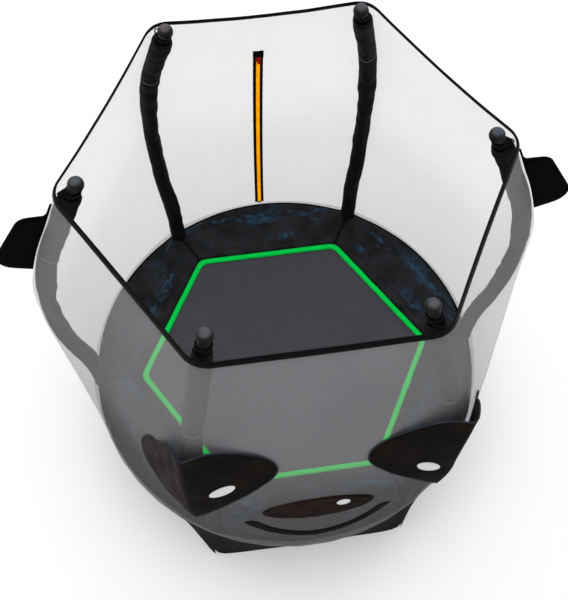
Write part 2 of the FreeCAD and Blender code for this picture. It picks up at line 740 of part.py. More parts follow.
def skirt_corner(side):
    """The waste outside a rounded lower corner."""
    edge_y = SKIRT_TOP_R * SIN_HALF
    wide = edge_y + SKIRT_CORNER_R
    x0 = SKIRT_TOP_R * COS_HALF - SKIRT_CORNER_R
    y0 = edge_y - SKIRT_CORNER_R
    low = SKIRT_BOTTOM_Z - OVERCUT
    block = box(x0, SKIRT_TOP_R, y0, wide, low, SKIRT_BOTTOM_Z + SKIRT_CORNER_R)
    round_bar = Part.makeCylinder(SKIRT_CORNER_R, 2 * SKIRT_CORNER_R + SKIRT_TOP_R - x0,
                                  V(x0 - SKIRT_CORNER_R, y0, SKIRT_BOTTOM_Z + SKIRT_CORNER_R), V(1, 0, 0))
    waste = block.cut(round_bar)
    return waste if side > 0 else waste.mirror(ORIGIN, V(0, 1, 0))


# Zip

ZIP_CENTRE = V(0, NET_BULGE_R - NET_ARC_R, NET_BULGE_Z)


def zip_angle(z):
    return math.degrees(math.asin((z - NET_BULGE_Z) / NET_ARC_R))


def zip_strip(x0, x1, out, inward, start_z=ZIP_BOTTOM_Z, end_z=ZIP_TOP_Z):
    """A strip along the rear panel's middle line, between two distances from the net's inner face."""
    face = Part.Face(Part.makePolygon([
        V(x0, NET_BULGE_R + inward, NET_BULGE_Z), V(x1, NET_BULGE_R + inward, NET_BULGE_Z),
        V(x1, NET_BULGE_R + out, NET_BULGE_Z), V(x0, NET_BULGE_R + out, NET_BULGE_Z),
        V(x0, NET_BULGE_R + inward, NET_BULGE_Z),
    ]))
    start = zip_angle(start_z)
    face.rotate(ZIP_CENTRE, V(1, 0, 0), start)
    return face.revolve(ZIP_CENTRE, V(1, 0, 0), zip_angle(end_z) - start)


TAPE_FACE = -ZIP_TAPE_GAP - ZIP_TAPE_THICK
COIL_FACE = TAPE_FACE - ZIP_COIL_THICK
SLIDER_Z = ZIP_TOP_Z - ZIP_END_LEN - SLIDER_GAP - SLIDER_LEN


def make_zip():
    half = ZIP_TAPE_W / 2
    split = ZIP_TAPE_SPLIT
    coil = ZIP_COIL_W / 2
    save("zip_tapes",
         zip_strip(-half, -split, -ZIP_TAPE_GAP, TAPE_FACE),
         zip_strip(split, half, -ZIP_TAPE_GAP, TAPE_FACE))
    low = ZIP_BOTTOM_Z + ZIP_STOP_LEN
    high = ZIP_TOP_Z - ZIP_END_LEN
    save("zip_coils",
         zip_strip(-coil, -split, TAPE_FACE, COIL_FACE, low, high),
         zip_strip(split, coil, TAPE_FACE, COIL_FACE, low, high))
    stop_face = COIL_FACE - ZIP_STOP_THICK
    save("zip_stops",
         zip_strip(-coil, coil, TAPE_FACE, stop_face, ZIP_BOTTOM_Z, low),
         zip_strip(-ZIP_END_W / 2, ZIP_END_W / 2, TAPE_FACE, stop_face, high, ZIP_TOP_Z))
    make_slider()


def make_slider():
    coil = ZIP_COIL_W / 2
    plate_out = COIL_FACE - SLIDER_GAP
    plate_in = plate_out - SLIDER_PLATE
    wide = coil + SLIDER_GAP + SLIDER_FLANGE
    top_z = SLIDER_Z + SLIDER_LEN
    body = zip_strip(-wide, wide, plate_out, plate_in, SLIDER_Z, top_z)
    for x0, x1 in ((-wide, -coil - SLIDER_GAP), (coil + SLIDER_GAP, wide)):
        body = body.fuse(zip_strip(x0, x1, TAPE_FACE - SLIDER_GAP, plate_out, SLIDER_Z, top_z))
    lug_low = top_z - LUG_LEN
    lug_high = lug_low + LUG_LEN
    body = body.fuse(zip_strip(-LUG_W / 2, LUG_W / 2, plate_in, plate_in - LUG_H, lug_low, lug_high))
    body = body.removeSplitter()
    eye = V(0, NET_BULGE_R + plate_in - LUG_H / 2, NET_BULGE_Z)
    turn = FreeCAD.Rotation(V(1, 0, 0), zip_angle((lug_low + lug_high) / 2))
    eye = ZIP_CENTRE + turn.multVec(eye - ZIP_CENTRE)
    hole_r = PULL_PIN_R + SLIDER_GAP
    hole_start = eye - V(LUG_W / 2 + OVERCUT, 0, 0)
    body = body.cut(Part.makeCylinder(hole_r, LUG_W + 2 * OVERCUT, hole_start, V(1, 0, 0)))
    save("zip_slider", body)
    make_pull(eye)


def make_pull(eye):
    """A fork on a pin through the slider's lug, with a tab that hangs straight down."""
    inner = LUG_W / 2 + SLIDER_GAP
    wide = inner + PULL_CHEEK_W
    pull = Part.makeCylinder(PULL_PIN_R, 2 * wide, eye - V(wide, 0, 0), V(1, 0, 0))
    y0 = eye.y - PULL_THICK / 2
    y1 = eye.y + PULL_THICK / 2
    fork_z = eye.z - PULL_EYE_LEN
    for x0, x1 in ((-wide, -inner), (inner, wide)):
        pull = pull.fuse(box(x0, x1, y0, y1, fork_z, eye.z + PULL_THICK / 2))
    tab = box(-wide, wide, y0, y1, eye.z - PULL_LEN, fork_z)
    low = [e for e in tab.Edges if abs(e.CenterOfMass.z - tab.BoundBox.ZMin) < TOLERANCE]
    corners = [e for e in low if e.BoundBox.YLength > PULL_THICK / 2]
    tab = tab.makeFillet(wide / 2, corners)
    save("zip_pull", pull.fuse(tab).removeSplitter())


# Ears and face

def make_ears():
    off = NET_THICK / COS_HALF + EAR_SEAT_GAP
    levels = (EAR_BOTTOM_Z, (EAR_BOTTOM_Z + EAR_TOP_Z) / 2, EAR_TOP_Z)
    seat = [V(net_crease(z) + off, -EAR_THICK / 2, z) for z in levels]
    top = V(EAR_TOP_X, -EAR_THICK / 2, EAR_TIP_Z)
    out = V(EAR_OUT_X, -EAR_THICK / 2, EAR_OUT_Z)
    wire = Part.Wire([
        Part.Arc(*seat).toShape(),
        Part.LineSegment(seat[2], top).toShape(),
        Part.LineSegment(top, out).toShape(),
        Part.LineSegment(out, seat[0]).toShape(),
    ])
    ear = Part.Face(wire).extrude(V(0, EAR_THICK, 0))
    for point, radius in ((top, EAR_TOP_ROUND), (out, EAR_OUT_ROUND)):
        near = [e for e in ear.Edges if (e.CenterOfMass - V(point.x, 0, point.z)).Length < TOLERANCE]
        ear = ear.makeFillet(radius, near)
    rims = [e for e in ear.Edges if e.BoundBox.YLength < TOLERANCE and not same_curve(e, seat)]
    ear = ear.makeFillet(EAR_ROUND, rims)
    save("ear_right", ear)
    save("ear_left", ear.mirror(ORIGIN, V(1, 0, 0)))


def same_curve(edge, points):
    """Whether an edge is the ear's seated side, which stays square."""
    middle = edge.valueAt((edge.FirstParameter + edge.LastParameter) / 2)
    arc = Part.Arc(*points).toShape()
    level = V(middle.x, points[0].y, middle.z)
    return arc.distToShape(Part.Vertex(level))[0] < TOLERANCE


def front_prism(face):
    """Carries an outline drawn in the upright plane through the front of the net."""
    return face.extrude(V(0, -2 * NET_BULGE_R, 0))


def ellipse_face(x, z, half_w, half_h, tilt_deg=0.0):
    centre = V(x, 0, z)
    upright = half_h > half_w
    curve = Part.Ellipse(ORIGIN, max(half_w, half_h), min(half_w, half_h)).toShape()
    curve.rotate(ORIGIN, UP, tilt_deg + (90.0 if upright else 0.0))
    curve.rotate(ORIGIN, V(1, 0, 0), 90)
    curve.translate(centre)
    return Part.Face(Part.Wire(curve))


def smooth_face(points):
    """A closed smooth outline with a straight side between its last and first points."""
    curve = Part.BSplineCurve()
    curve.interpolate([V(x, 0, z) for x, z in points])
    first = V(points[0][0], 0, points[0][1])
    last = V(points[-1][0], 0, points[-1][1])
    return Part.Face(Part.Wire([curve.toShape(), Part.LineSegment(last, first).toShape()]))


def make_face():
    lift = NET_THICK + SOFT_GAP
    front = panel_deg(FRONT_PANEL)
    skin = wall_skin(lift, lift + PATCH_THICK, patch_row)
    fold_x = patch_row(PATCH_FOLD_TOP_Z, lift + PATCH_THICK)[-1].y + PATCH_THICK
    ends = ((-fold_x, PATCH_FOLD_TOP_Z), (-fold_x, PATCH_FOLD_BOTTOM_Z))
    lobe = smooth_face((ends[0],) + PATCH_FRONT + (ends[1],))
    front_lobe = turned(skin, front).common(front_prism(lobe))
    side_ends = ((fold_x, PATCH_FOLD_TOP_Z), (fold_x, PATCH_FOLD_BOTTOM_Z))
    lobe = smooth_face((side_ends[0],) + PATCH_SIDE + (side_ends[1],))
    side_lobe = turned(turned(skin, front).common(front_prism(lobe)), -SIDE_DEG)
    patch = front_lobe.fuse(side_lobe).removeSplitter()
    save("eye_patch_left", patch)
    save("eye_patch_right", patch.mirror(ORIGIN, V(1, 0, 0)))
    over = lift + PATCH_THICK + SOFT_GAP
    skin = turned(wall_skin(over, over + PUPIL_THICK, patch_row), front)
    left = ellipse_face(-PUPIL_X, PUPIL_Z, PUPIL_HALF_W, PUPIL_HALF_H, PUPIL_TILT_DEG)
    right = ellipse_face(PUPIL_RIGHT_X, PUPIL_RIGHT_Z, PUPIL_HALF_W, PUPIL_HALF_H, PUPIL_RIGHT_TILT_DEG)
    save("eye_left", skin.common(front_prism(left)))
    save("eye_right", skin.common(front_prism(right)))
    make_nose(lift, front)
    make_mouth(lift, front)


def make_nose(lift, front):
    skin = turned(wall_skin(lift, lift + NOSE_THICK), front)
    save("nose", skin.common(front_prism(ellipse_face(NOSE_X, NOSE_Z, NOSE_HALF_W, NOSE_HALF_H))))
    over = lift + NOSE_THICK + SOFT_GAP
    skin = turned(wall_skin(over, over + PUPIL_THICK), front)
    save("nose_glint", skin.common(front_prism(ellipse_face(GLINT_X, GLINT_Z, GLINT_HALF_W, GLINT_HALF_H))))


def make_mouth(lift, front):
    skin = turned(wall_skin(lift, lift + MOUTH_THICK), front)
    rise = MOUTH_END_Z - MOUTH_LOW_Z
    radius = (MOUTH_HALF_W ** 2 + rise ** 2) / (2 * rise)
    centre = V(0, 0, MOUTH_LOW_Z + radius)
    half_deg = math.degrees(math.asin(MOUTH_HALF_W / radius))
    rows = []
    for r in (radius - MOUTH_W / 2, radius + MOUTH_W / 2):
        rows.append([centre + V(r * math.sin(math.radians(a)), 0, -r * math.cos(math.radians(a)))
                     for a in (-half_deg, 0, half_deg)])
    upper, lower = rows
    caps = []
    for side in (0, 2):
        sign = -1 if side == 0 else 1
        a = math.radians(sign * half_deg)
        middle = centre + V(radius * math.sin(a), 0, -radius * math.cos(a))
        tip = middle + V(math.cos(a), 0, math.sin(a)) * (sign * MOUTH_W / 2)
        caps.append((upper[side], tip, lower[side]))
    wire = Part.Wire([
        Part.Arc(*upper).toShape(),
        Part.Arc(*caps[1]).toShape(),
        Part.Arc(*reversed(lower)).toShape(),
        Part.Arc(*reversed(caps[0])).toShape(),
    ])
    save("mouth", skin.common(front_prism(Part.Face(wire))))


os.makedirs("parts", exist_ok=True)
make_poles()
make_sleeves()
make_ball_caps()
make_ring()
make_sockets()
make_legs()
make_mat()
make_straps()
make_pads()
make_net()
make_rim()
make_skirts()
make_zip()
make_ears()
make_face()
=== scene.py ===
import math

import bmesh
import bpy
import numpy as np
from mathutils import Matrix, Vector, noise
from mathutils.geometry import delaunay_2d_cdt


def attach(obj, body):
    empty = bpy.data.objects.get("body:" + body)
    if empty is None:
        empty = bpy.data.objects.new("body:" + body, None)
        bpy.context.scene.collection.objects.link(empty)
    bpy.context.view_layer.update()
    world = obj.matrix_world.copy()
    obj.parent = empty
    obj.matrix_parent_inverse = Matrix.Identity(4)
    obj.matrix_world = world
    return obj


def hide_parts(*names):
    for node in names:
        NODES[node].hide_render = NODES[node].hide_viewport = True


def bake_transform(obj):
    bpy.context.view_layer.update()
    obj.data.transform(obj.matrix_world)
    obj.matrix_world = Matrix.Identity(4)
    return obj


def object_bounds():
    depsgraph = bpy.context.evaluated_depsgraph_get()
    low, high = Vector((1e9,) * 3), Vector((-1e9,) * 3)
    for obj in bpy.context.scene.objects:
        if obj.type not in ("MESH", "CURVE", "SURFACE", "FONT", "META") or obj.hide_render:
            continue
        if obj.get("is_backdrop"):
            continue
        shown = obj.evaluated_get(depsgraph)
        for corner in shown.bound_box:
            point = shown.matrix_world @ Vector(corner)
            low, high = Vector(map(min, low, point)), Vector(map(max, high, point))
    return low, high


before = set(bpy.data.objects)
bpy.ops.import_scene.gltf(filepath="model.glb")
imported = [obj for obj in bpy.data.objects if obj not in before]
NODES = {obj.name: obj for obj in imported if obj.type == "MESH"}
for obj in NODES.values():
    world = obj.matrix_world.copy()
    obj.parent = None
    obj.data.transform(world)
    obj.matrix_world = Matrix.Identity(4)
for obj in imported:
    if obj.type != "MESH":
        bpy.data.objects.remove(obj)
CAD_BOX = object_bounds()

# Metres and degrees. The floor is z = 0, the front faces -Y, and a corner lies on +X.

SIDES = 6
SIDE_DEG = 60.0
HALF = math.radians(30.0)
COS_HALF = math.cos(HALF)
SIN_HALF = math.sin(HALF)
CORNER_NAMES = ("right", "rear_right", "rear_left", "left", "front_left", "front_right")
PANEL_NAMES = ("right_rear", "rear", "left_rear", "left_front", "front", "right_front")
FRONT_DEG = 270.0
REAR_DEG = 90.0

CORNER_R = 0.686
MAT_R = 0.548
MAT_TOP_Z = 0.340
MAT_LOW_Z = 0.3375
HEM_LOW_Z = 0.3345
RING_Z = 0.3242
STRAP_COUNT = 36
PAD_Z = 0.341
PAD_HIGH = 0.0168
PAD_OUTER_R = 0.7027
PAD_EDGE_R = 0.6945
PAD_INNER = 0.472
PAD_POST_ROOM = 0.0170
PAD_SEAM = math.radians(0.03)
PIPING_IN_R = 0.548
PIPING_OUT_R = 0.655
TRIM_IN = 0.4507
TRIM_OUT = 0.4717

POLE_STRAIGHT_TOP_Z = 0.360
POLE_OUT_R = 0.766
POLE_IN_R = 1.137
POLE_OUT_LEAN = math.radians(17.8)
POLE_TOP_LEAN = math.radians(22.4)
NECK_R = 0.019
SLEEVE_FOOT_Z = 0.3581
SLEEVE_FOLD_Z = 1.040
SLEEVE_SEAM_Z = 1.2723
SLEEVE_TOP_Z = 1.5492
SLEEVE_CLOSE_R = 0.0282
SLEEVE_LOOSE_R = 0.0316
SLEEVE_FULL_R = 0.0315
SIDE_SLEEVE_FULL_R = 0.0360
SLEEVE_RING_STEP = 0.0055
COLLAR = ((0.004, 0.0284), (0.0064, 0.0268), (0.0064, 0.0246), (0.003, 0.0224), (-0.012, 0.0210))

NET_HEM_LOW_Z = 0.2797
NET_LOW_Z = 0.2997
NET_FOOT_Z = 0.300
NET_HEM_TOP_Z = 0.343
NET_TOP_Z = 1.5587
NET_BOTTOM_R = 0.706
NET_BULGE_R = 0.718
NET_BULGE_Z = 0.640
NET_ARC_R = 4.300
NET_ARC_TOP_Z = 1.360
NET_TOP_MIDDLE_R = 0.580
NET_OFF_POLE = 0.037
NET_SPREAD_Z = 1.400
NET_SAG_Z = 1.420
CREASE_WIDTH = 0.020
TOP_CREASE_WIDTH = 0.067
RIM_CORNER_R = 0.675
RIM_LOW_Z = 1.559
RIM_HIGH_Z = 1.579
RIM_LEAN = math.radians(25.0)
RIM_SAG = 0.011

SKIRT_R = 0.703
SKIRT_TOP_Z = 0.350
SKIRT_BAND_Z = 0.296
SKIRT_BOW = 0.006
SKIRT_CORNER_R = 0.070
POST_WIDTH = 0.034

ZIP_LOW_Z = 0.354
ZIP_TOP_Z = 1.306
ZIP_END_Z = 1.274
ZIP_COIL_LOW_Z = ZIP_LOW_Z + 0.0062
ZIP_COIL_PITCH = 0.0030
ZIP_TAPE_HALF = 0.01725
ZIP_SLOT_DEG = 0.56

PATCH_STAND_Z = 0.900
PATCH_LEAN = {-1: 0.036, 1: 0.066}
PATCH_TIP_X = 0.135
PATCH_LOW = 0.0023
PATCH_THICK = 0.0040


def linear(colour):
    """A screen colour from 0 to 255 as linear light."""
    shares = [value / 255 for value in colour]
    return (*(s / 12.92 if s <= 0.04045 else ((s + 0.055) / 1.055) ** 2.4 for s in shares), 1.0)


def grain(x, y, z):
    return noise.noise(Vector((x, y, z)))


def smooth_step(value, low, high):
    share = np.clip((value - low) / (high - low), 0.0, 1.0)
    return share * share * (3 - 2 * share)


def dome(share):
    """A quarter circle's rise, from 0 at its edge to 1."""
    return np.sqrt(1 - (1 - share) ** 2)


def bell(gap, width):
    """A bell curve of a distance, 1 in its middle."""
    return np.exp(-(gap / width) ** 2)


def circle(count):
    return np.arange(count) * 2 * math.pi / count


def stations(*runs):
    """Even runs of shares, one after the other."""
    return np.concatenate([np.linspace(*run) for run in runs])


def polar(radius, degrees, z):
    a = math.radians(degrees)
    return radius * math.cos(a), radius * math.sin(a), z


# Materials

def add_node(tree, kind, inputs=(), **settings):
    """A shader node with its settings, whose inputs are linked to sockets or set to constants."""
    node = tree.nodes.new("ShaderNode" + kind)
    for key, value in settings.items():
        setattr(node, key, value)
    for key, value in dict(inputs).items():
        feed(tree, node.inputs[key], value)
    return node


def feed(tree, socket, value):
    if isinstance(value, bpy.types.NodeSocket):
        tree.links.new(value, socket)
    else:
        socket.default_value = value


class Shader:
    """A material with one Principled shader, and short calls for the nodes that feed it."""

    def __init__(self, name, roughness, shine=0.5, uv=True, **constants):
        self.material = bpy.data.materials.new(name)
        self.material.use_nodes = True
        self.tree = self.material.node_tree
        self.out = self.tree.nodes["Principled BSDF"]
        for key, value in {"Roughness": roughness, "Specular IOR Level": shine, **constants}.items():
            self.feed(key.replace("_", " "), value)
        if uv:
            self.place = self.add("UVMap", uv_map="cloth").outputs["UV"]
        else:
            self.place = self.add("TexCoord").outputs["Object"]

    def add(self, kind, inputs=(), **settings):
        return add_node(self.tree, kind, inputs, **settings)

    def feed(self, name, value):
        feed(self.tree, self.out.inputs[name], value)

    def noise(self, scale, detail=3.0, stretch=(1, 1, 1), twist=0.0):
        place = self.add("Mapping", {"Vector": self.place, "Scale": stretch}).outputs["Vector"]
        return self.add("TexNoise", {"Vector": place, "Scale": scale, "Detail": detail,
                                     "Distortion": twist}).outputs["Fac"]

    def threads(self, axis, pitch, bend=0.0):
        """Even threads that cross one axis, a pitch apart."""
        return self.add("TexWave", {"Vector": self.place, "Scale": math.pi / (10 * pitch), "Distortion": bend,
                                    "Detail Scale": 2.0}, bands_direction=axis).outputs["Fac"]

    def calc(self, operation, *values):
        return self.add("Math", enumerate(values), operation=operation).outputs["Value"]

    def times(self, first, second):
        return self.calc("MULTIPLY", first, second)

    def blend(self, share, first, second):
        """Two values, the first with a share and the second with the rest."""
        return self.calc("MULTIPLY_ADD", first, share, self.times(second, 1 - share))

    def weave(self, pitch):
        return self.blend(0.5, self.threads("X", pitch), self.threads("Y", pitch))

    def span(self, value, *limits):
        """A smooth step from low to high, between 0 and 1 or two other values."""
        inputs = enumerate((value, *limits))
        return self.add("MapRange", inputs, interpolation_type="SMOOTHSTEP").outputs["Result"]

    def mix(self, share, first, second):
        """Two colours by a share. Three numbers are a screen colour, four are linear light."""
        ends = [linear(c) if isinstance(c, tuple) and len(c) == 3 else c for c in (first, second)]
        return self.add("Mix", zip((0, 6, 7), (share, *ends)), data_type="RGBA").outputs[2]

    def colour(self, value):
        self.feed("Base Color", value)

    def rough(self, cause, low, high):
        self.feed("Roughness", self.span(cause, 0.3, 0.7, low, high))

    def bump(self, height, depth):
        """Raises the surface by up to a depth in metres, on top of the bumps before it."""
        before = {"Normal": link.from_socket for link in self.out.inputs["Normal"].links}
        node = self.add("Bump", {"Distance": depth, "Height": height, **before})
        self.feed("Normal", node.outputs["Normal"])

    def part(self, axis, source=None):
        vector = self.place if source is None else source
        return self.add("SeparateXYZ", {"Vector": vector}).outputs[axis]


def cloth(name, dark, light, pitch, rough=0.8, shine=0.08, crease=0.0012):
    """A woven cloth with threads both ways, cloudy dye and soft creases."""
    made = Shader(name, rough, shine)
    weave = made.weave(pitch)
    dye = made.noise(14.0, 4.0)
    made.colour(made.mix(made.span(made.blend(0.45, weave, dye), 0.25, 0.75), dark, light))
    made.rough(dye, rough - 0.08, min(1.0, rough + 0.08))
    made.bump(made.noise(9.0, 3.0, twist=0.4), crease * 4)
    made.bump(weave, pitch * 0.25)
    return made.material


def plastic(name, rough, base, second, shine, **constants):
    """A plastic with a fine grain, and a cloudy mix of two colours for its colour: dye in most plastics,
    painted reflection on the ball.
    """
    made = Shader(name, rough, shine, uv=False, **constants)
    made.bump(made.noise(900.0, 2.0), 0.00012)
    return made, made.mix(made.span(made.noise(30.0, 3.0), 0.4, 0.65), base, second)


def moulded(name, base, second, rough, shine=0.5):
    made, dye = plastic(name, rough, base, second, shine)
    made.colour(dye)
    made.rough(made.noise(60.0, 4.0), rough - 0.06, rough + 0.08)
    return made.material


def ball_plastic():
    """Dark satin plastic whose upper side is lightened by a painted highlight with painted blue and warm
    reflections, and black on the neck below the ball, its own dark colour with painted shade under the ball.
    """
    made, painted_highlight_tint = plastic("ball_plastic", 0.45, (60, 68, 80), (88, 80, 76), 0.18)
    # Painted highlight: the colour is lighter where the surface faces up, and its cloudy blue and warm tints
    # are painted reflections.
    upward = made.part("Z", made.add("NewGeometry").outputs["Normal"])
    ball = made.mix(made.span(upward, 0.50, 0.99), (7, 8, 10), painted_highlight_tint)
    # Below the ball the neck turns black: its own dark colour, with painted shade under the ball.
    made.colour(made.mix(made.span(made.part("Z"), 1.581, 1.586), (3, 3, 3), ball))
    made.rough(made.noise(60.0, 4.0), 0.38, 0.52)
    return made.material


def coil_plastic():
    """Orange nylon that glows a little: painted light that keeps the coil bright where it stands in shade."""
    made, dye = plastic("coil_plastic", 0.5, (252, 158, 0), (255, 178, 6), 0.1, Emission_Strength=0.55)
    made.colour(dye)
    # Painted light: the coil glows in its own orange.
    made.feed("Emission Color", dye)
    return made.material


def coated_steel(name, base, rub, rough, metal):
    """Steel tube with a coat that shines where hands and cloth rub it."""
    made = Shader(name, rough, uv=False, Metallic=metal)
    made.colour(made.mix(made.span(made.noise(18.0, 6.0, twist=1.2), 0.58, 0.7), base, rub))
    made.rough(made.noise(45.0, 4.0, stretch=(1, 1, 0.2)), rough - 0.1, rough + 0.1)
    made.bump(made.noise(500.0, 2.0), 0.0001)
    return made.material


def pad_vinyl():
    """Charcoal sheeting with a cloudy blue print and a plain band along its inner edge."""
    made = Shader("pad_vinyl_cover", 0.55, 0.12)
    grey = made.mix(made.span(made.noise(9.0, 5.0), 0.35, 0.65), (12, 12, 14), (31, 31, 36))
    inward = made.part("X")
    rows = made.calc("COSINE", made.times(made.calc("SUBTRACT", inward, 0.062), 70.0))
    cover = made.blend(0.55, made.noise(6.5, 4.0, stretch=(1.3, 0.70, 1.0), twist=0.5),
                       made.noise(24.0, 4.0, stretch=(1.3, 0.62, 1.0), twist=1.2))
    cover = made.calc("MULTIPLY_ADD", rows, 0.030, cover)
    away = made.times(made.span(inward, 0.030, 0.050), made.span(inward, 0.160, 0.205, 1.0, 0.3))
    print_share = made.times(made.span(cover, 0.515, 0.620, 0.0, 0.80), away)
    blue = made.mix(made.span(made.noise(34.0, 3.0), 0.35, 0.65), (12, 34, 50), (36, 70, 94))
    made.colour(made.mix(print_share, grey, blue))
    made.rough(made.noise(30.0, 4.0), 0.46, 0.64)
    made.bump(made.noise(6.0, 3.0, twist=0.5), 0.010)
    made.bump(made.noise(700.0, 2.0), 0.00015)
    return made.material


def net_mesh(name, shade, cover):
    """A see-through knit with close courses and a doubled hem, a little denser towards the bottom, and darker
    there by painted shade.
    """
    made = Shader(name, 0.7, 0.15)
    course = made.threads("Y", 0.0032)
    up = made.part("Y")
    whole = made.span(up, 0.76, 1.00, cover - 0.165, cover - 0.200)
    for texture, weight in ((made.threads("X", 0.0026), 0.10), (course, 0.20),
                            (made.threads("Y", 0.0070, bend=0.08), 0.04), (made.noise(3.0, 3.0), 0.06)):
        whole = made.calc("MULTIPLY_ADD", texture, weight, whole)
    hem = made.span(up, NET_HEM_TOP_Z - 0.001, NET_HEM_TOP_Z + 0.001, 1.6, 1.0)
    made.feed("Alpha", made.calc("MINIMUM", made.times(whole, hem), 0.95))
    # Painted shade: the colour darkens towards the bottom of the wall, where less light falls.
    low, high = ((*(c * share for c in shade), 1.0) for share in (0.46, 1.12))
    made.colour(made.mix(made.span(up, 0.70, 1.08), low, made.mix(made.noise(5.0, 2.0), (*shade, 1.0), high)))
    made.bump(course, 0.0003)
    return made.material


def stitches(made, along, across, low, high, edge):
    """Stitches a pitch apart along a band, in a line across it."""
    return made.times(made.span(made.threads("X", along), low, high),
                      made.span(made.threads("Y", across), edge, 0.99))


def rim_tape():
    made = Shader("rim_tape", 0.42, 0.06)
    rib = made.threads("X", 0.0022)
    made.colour(made.mix(rib, (2, 2, 3), (9, 9, 11)))
    made.bump(rib, 0.0003)
    made.bump(stitches(made, 0.009, 0.012, 0.4, 0.7, 0.9), 0.0005)
    return made.material


def patch_cloth(name, light, warmth, side_light_share):
    """Brown-black rep with fine level ribs, and painted light, uneven in streaks, that makes the side flap
    lighter than the front.
    """
    made = Shader(name, 0.72, 0.03)
    rib = made.threads("Y", 0.0055, bend=0.35)
    streak = made.noise(26.0, 4.0, stretch=(0.35, 2.6, 1.0))
    base = made.mix(made.span(streak, 0.3, 0.7), (2, 2, 2), light)
    base = made.mix(made.times(rib, 0.45), base, (5, 4, 4))
    base = made.mix(made.span(made.noise(5.0, 3.0), 0.42, 0.62, 0.0, 0.4), base, warmth)
    # Painted light: past the fold, the side flap is lightened towards a lit brown-grey.
    painted_side_light = made.times(made.span(made.part("X"), -0.01, 0.02, 0.0, side_light_share),
                            made.span(made.noise(11.0, 4.0, stretch=(2.4, 0.5, 1.0)), 0.3, 0.7, 0.35, 1.5))
    made.colour(made.mix(painted_side_light, base, (68, 61, 60)))
    made.bump(rib, 0.0010)
    made.bump(streak, 0.0016)
    made.bump(made.noise(420.0, 2.0), 0.0002)
    return made.material


def skirt_cloth():
    made = Shader("skirt_cloth", 0.78, 0.10)
    made.colour(made.mix(made.span(made.noise(6.0, 5.0), 0.3, 0.7), (4, 4, 5), (18, 18, 20)))
    made.bump(made.noise(5.0, 4.0, twist=0.6), 0.012)
    made.bump(made.weave(0.0018), 0.0004)
    return made.material


def mat_cloth():
    """Close woven polypropylene with a faint square of threads and scuffs in the middle."""
    made = Shader("mat_weave", 0.62, 0.2)
    weave = made.times(made.threads("X", 0.0024), made.threads("Y", 0.0024))
    scuff = made.noise(4.0, 6.0, twist=0.8)
    base = made.mix(weave, (60, 58, 65), (86, 84, 93))
    made.colour(made.mix(made.span(scuff, 0.5, 0.75, 0.0, 0.35), base, (88, 86, 92)))
    made.rough(scuff, 0.55, 0.7)
    made.bump(weave, 0.0006)
    made.bump(made.noise(5.0, 3.0), 0.004)
    return made.material


def green_binding():
    made = Shader("green_binding", 0.55, 0.05)
    rib = made.threads("X", 0.0030)
    stitch = stitches(made, 0.007, 0.010, 0.35, 0.65, 0.92)
    base = made.mix(made.noise(12.0, 3.0), (0, 218, 74), (0, 246, 96))
    base = made.mix(made.times(rib, 0.25), base, (2, 140, 48))
    made.colour(made.mix(made.times(stitch, 0.6), base, (3, 120, 42)))
    made.bump(rib, 0.0005)
    made.bump(stitch, 0.0008)
    return made.material


SLEEVE_CLOTH = cloth("sleeve_cloth", (4, 4, 5), (26, 24, 24), 0.0016, rough=0.66, crease=0.0036)
EAR_CLOTH = cloth("ear_cloth", (1, 1, 2), (8, 8, 10), 0.0016, rough=0.82, shine=0.03, crease=0.0010)
WEBBING = cloth("black_webbing", (10, 10, 12), (30, 30, 33), 0.0022, rough=0.7, crease=0.0004)
ELASTIC = cloth("white_elastic", (150, 150, 150), (214, 214, 212), 0.0020, crease=0.0003)
# The rolled edge's light bluish grey is a painted highlight along the whole edge.
ROLLED_EDGE_HIGHLIGHT = cloth("rolled_edge_painted_highlight", (26, 29, 37), (54, 59, 71), 0.0014, rough=0.6, crease=0.0006)
SEAM_THREAD = cloth("seam_thread", (96, 98, 102), (142, 144, 148), 0.0012, rough=0.7)
WHITE_CLOTH = cloth("white_cloth", (226, 228, 230), (243, 244, 246), 0.0018, rough=0.75, crease=0.0004)
ZIP_TAPE = cloth("zip_tape_cloth", (4, 4, 5), (15, 15, 17), 0.0015, crease=0.0003)
CORD = cloth("tie_cord_cloth", (4, 4, 5), (18, 18, 20), 0.0024, rough=0.6, crease=0.0003)
PAD_COVER = pad_vinyl()
PATCH_CLOTH = patch_cloth("patch_cloth", (12, 9, 7), (34, 24, 18), 0.42)
NOSE_CLOTH = patch_cloth("nose_cloth", (42, 31, 26), (50, 34, 26), 0.0)
MOUTH_CLOTH = patch_cloth("mouth_cloth", (15, 12, 11), (26, 19, 16), 0.0)
SKIRT_CLOTH = skirt_cloth()
MAT_CLOTH = mat_cloth()
GREEN = green_binding()
RIM_TAPE = rim_tape()
NET_CLOTH = net_mesh("net_knit", (0.50, 0.50, 0.515), 0.30)
NET_HEM_CLOTH = net_mesh("net_hem_knit", (0.40, 0.41, 0.43), 0.42)
BALL_PLASTIC = ball_plastic()
POLE_STEEL = coated_steel("pole_coat", (16, 16, 17), (70, 70, 72), 0.4, 0.6)
FRAME_STEEL = coated_steel("galvanised_tube", (150, 153, 156), (196, 198, 200), 0.42, 0.95)
BOLT_STEEL = coated_steel("bolt_zinc", (172, 174, 176), (120, 112, 98), 0.34, 1.0)
SOCKET_PLASTIC = moulded("socket_plastic", (22, 22, 24), (36, 36, 38), 0.5)
FOOT_RUBBER = moulded("foot_rubber", (20, 20, 20), (44, 43, 42), 0.78)
COIL_PLASTIC = coil_plastic()
SLIDER_RED = coated_steel("slider_red", (196, 18, 14), (226, 60, 44), 0.36, 0.3)
STOP_BLACK = moulded("stop_black", (3, 3, 4), (10, 10, 11), 0.6, shine=0.05)


# Mesh helpers

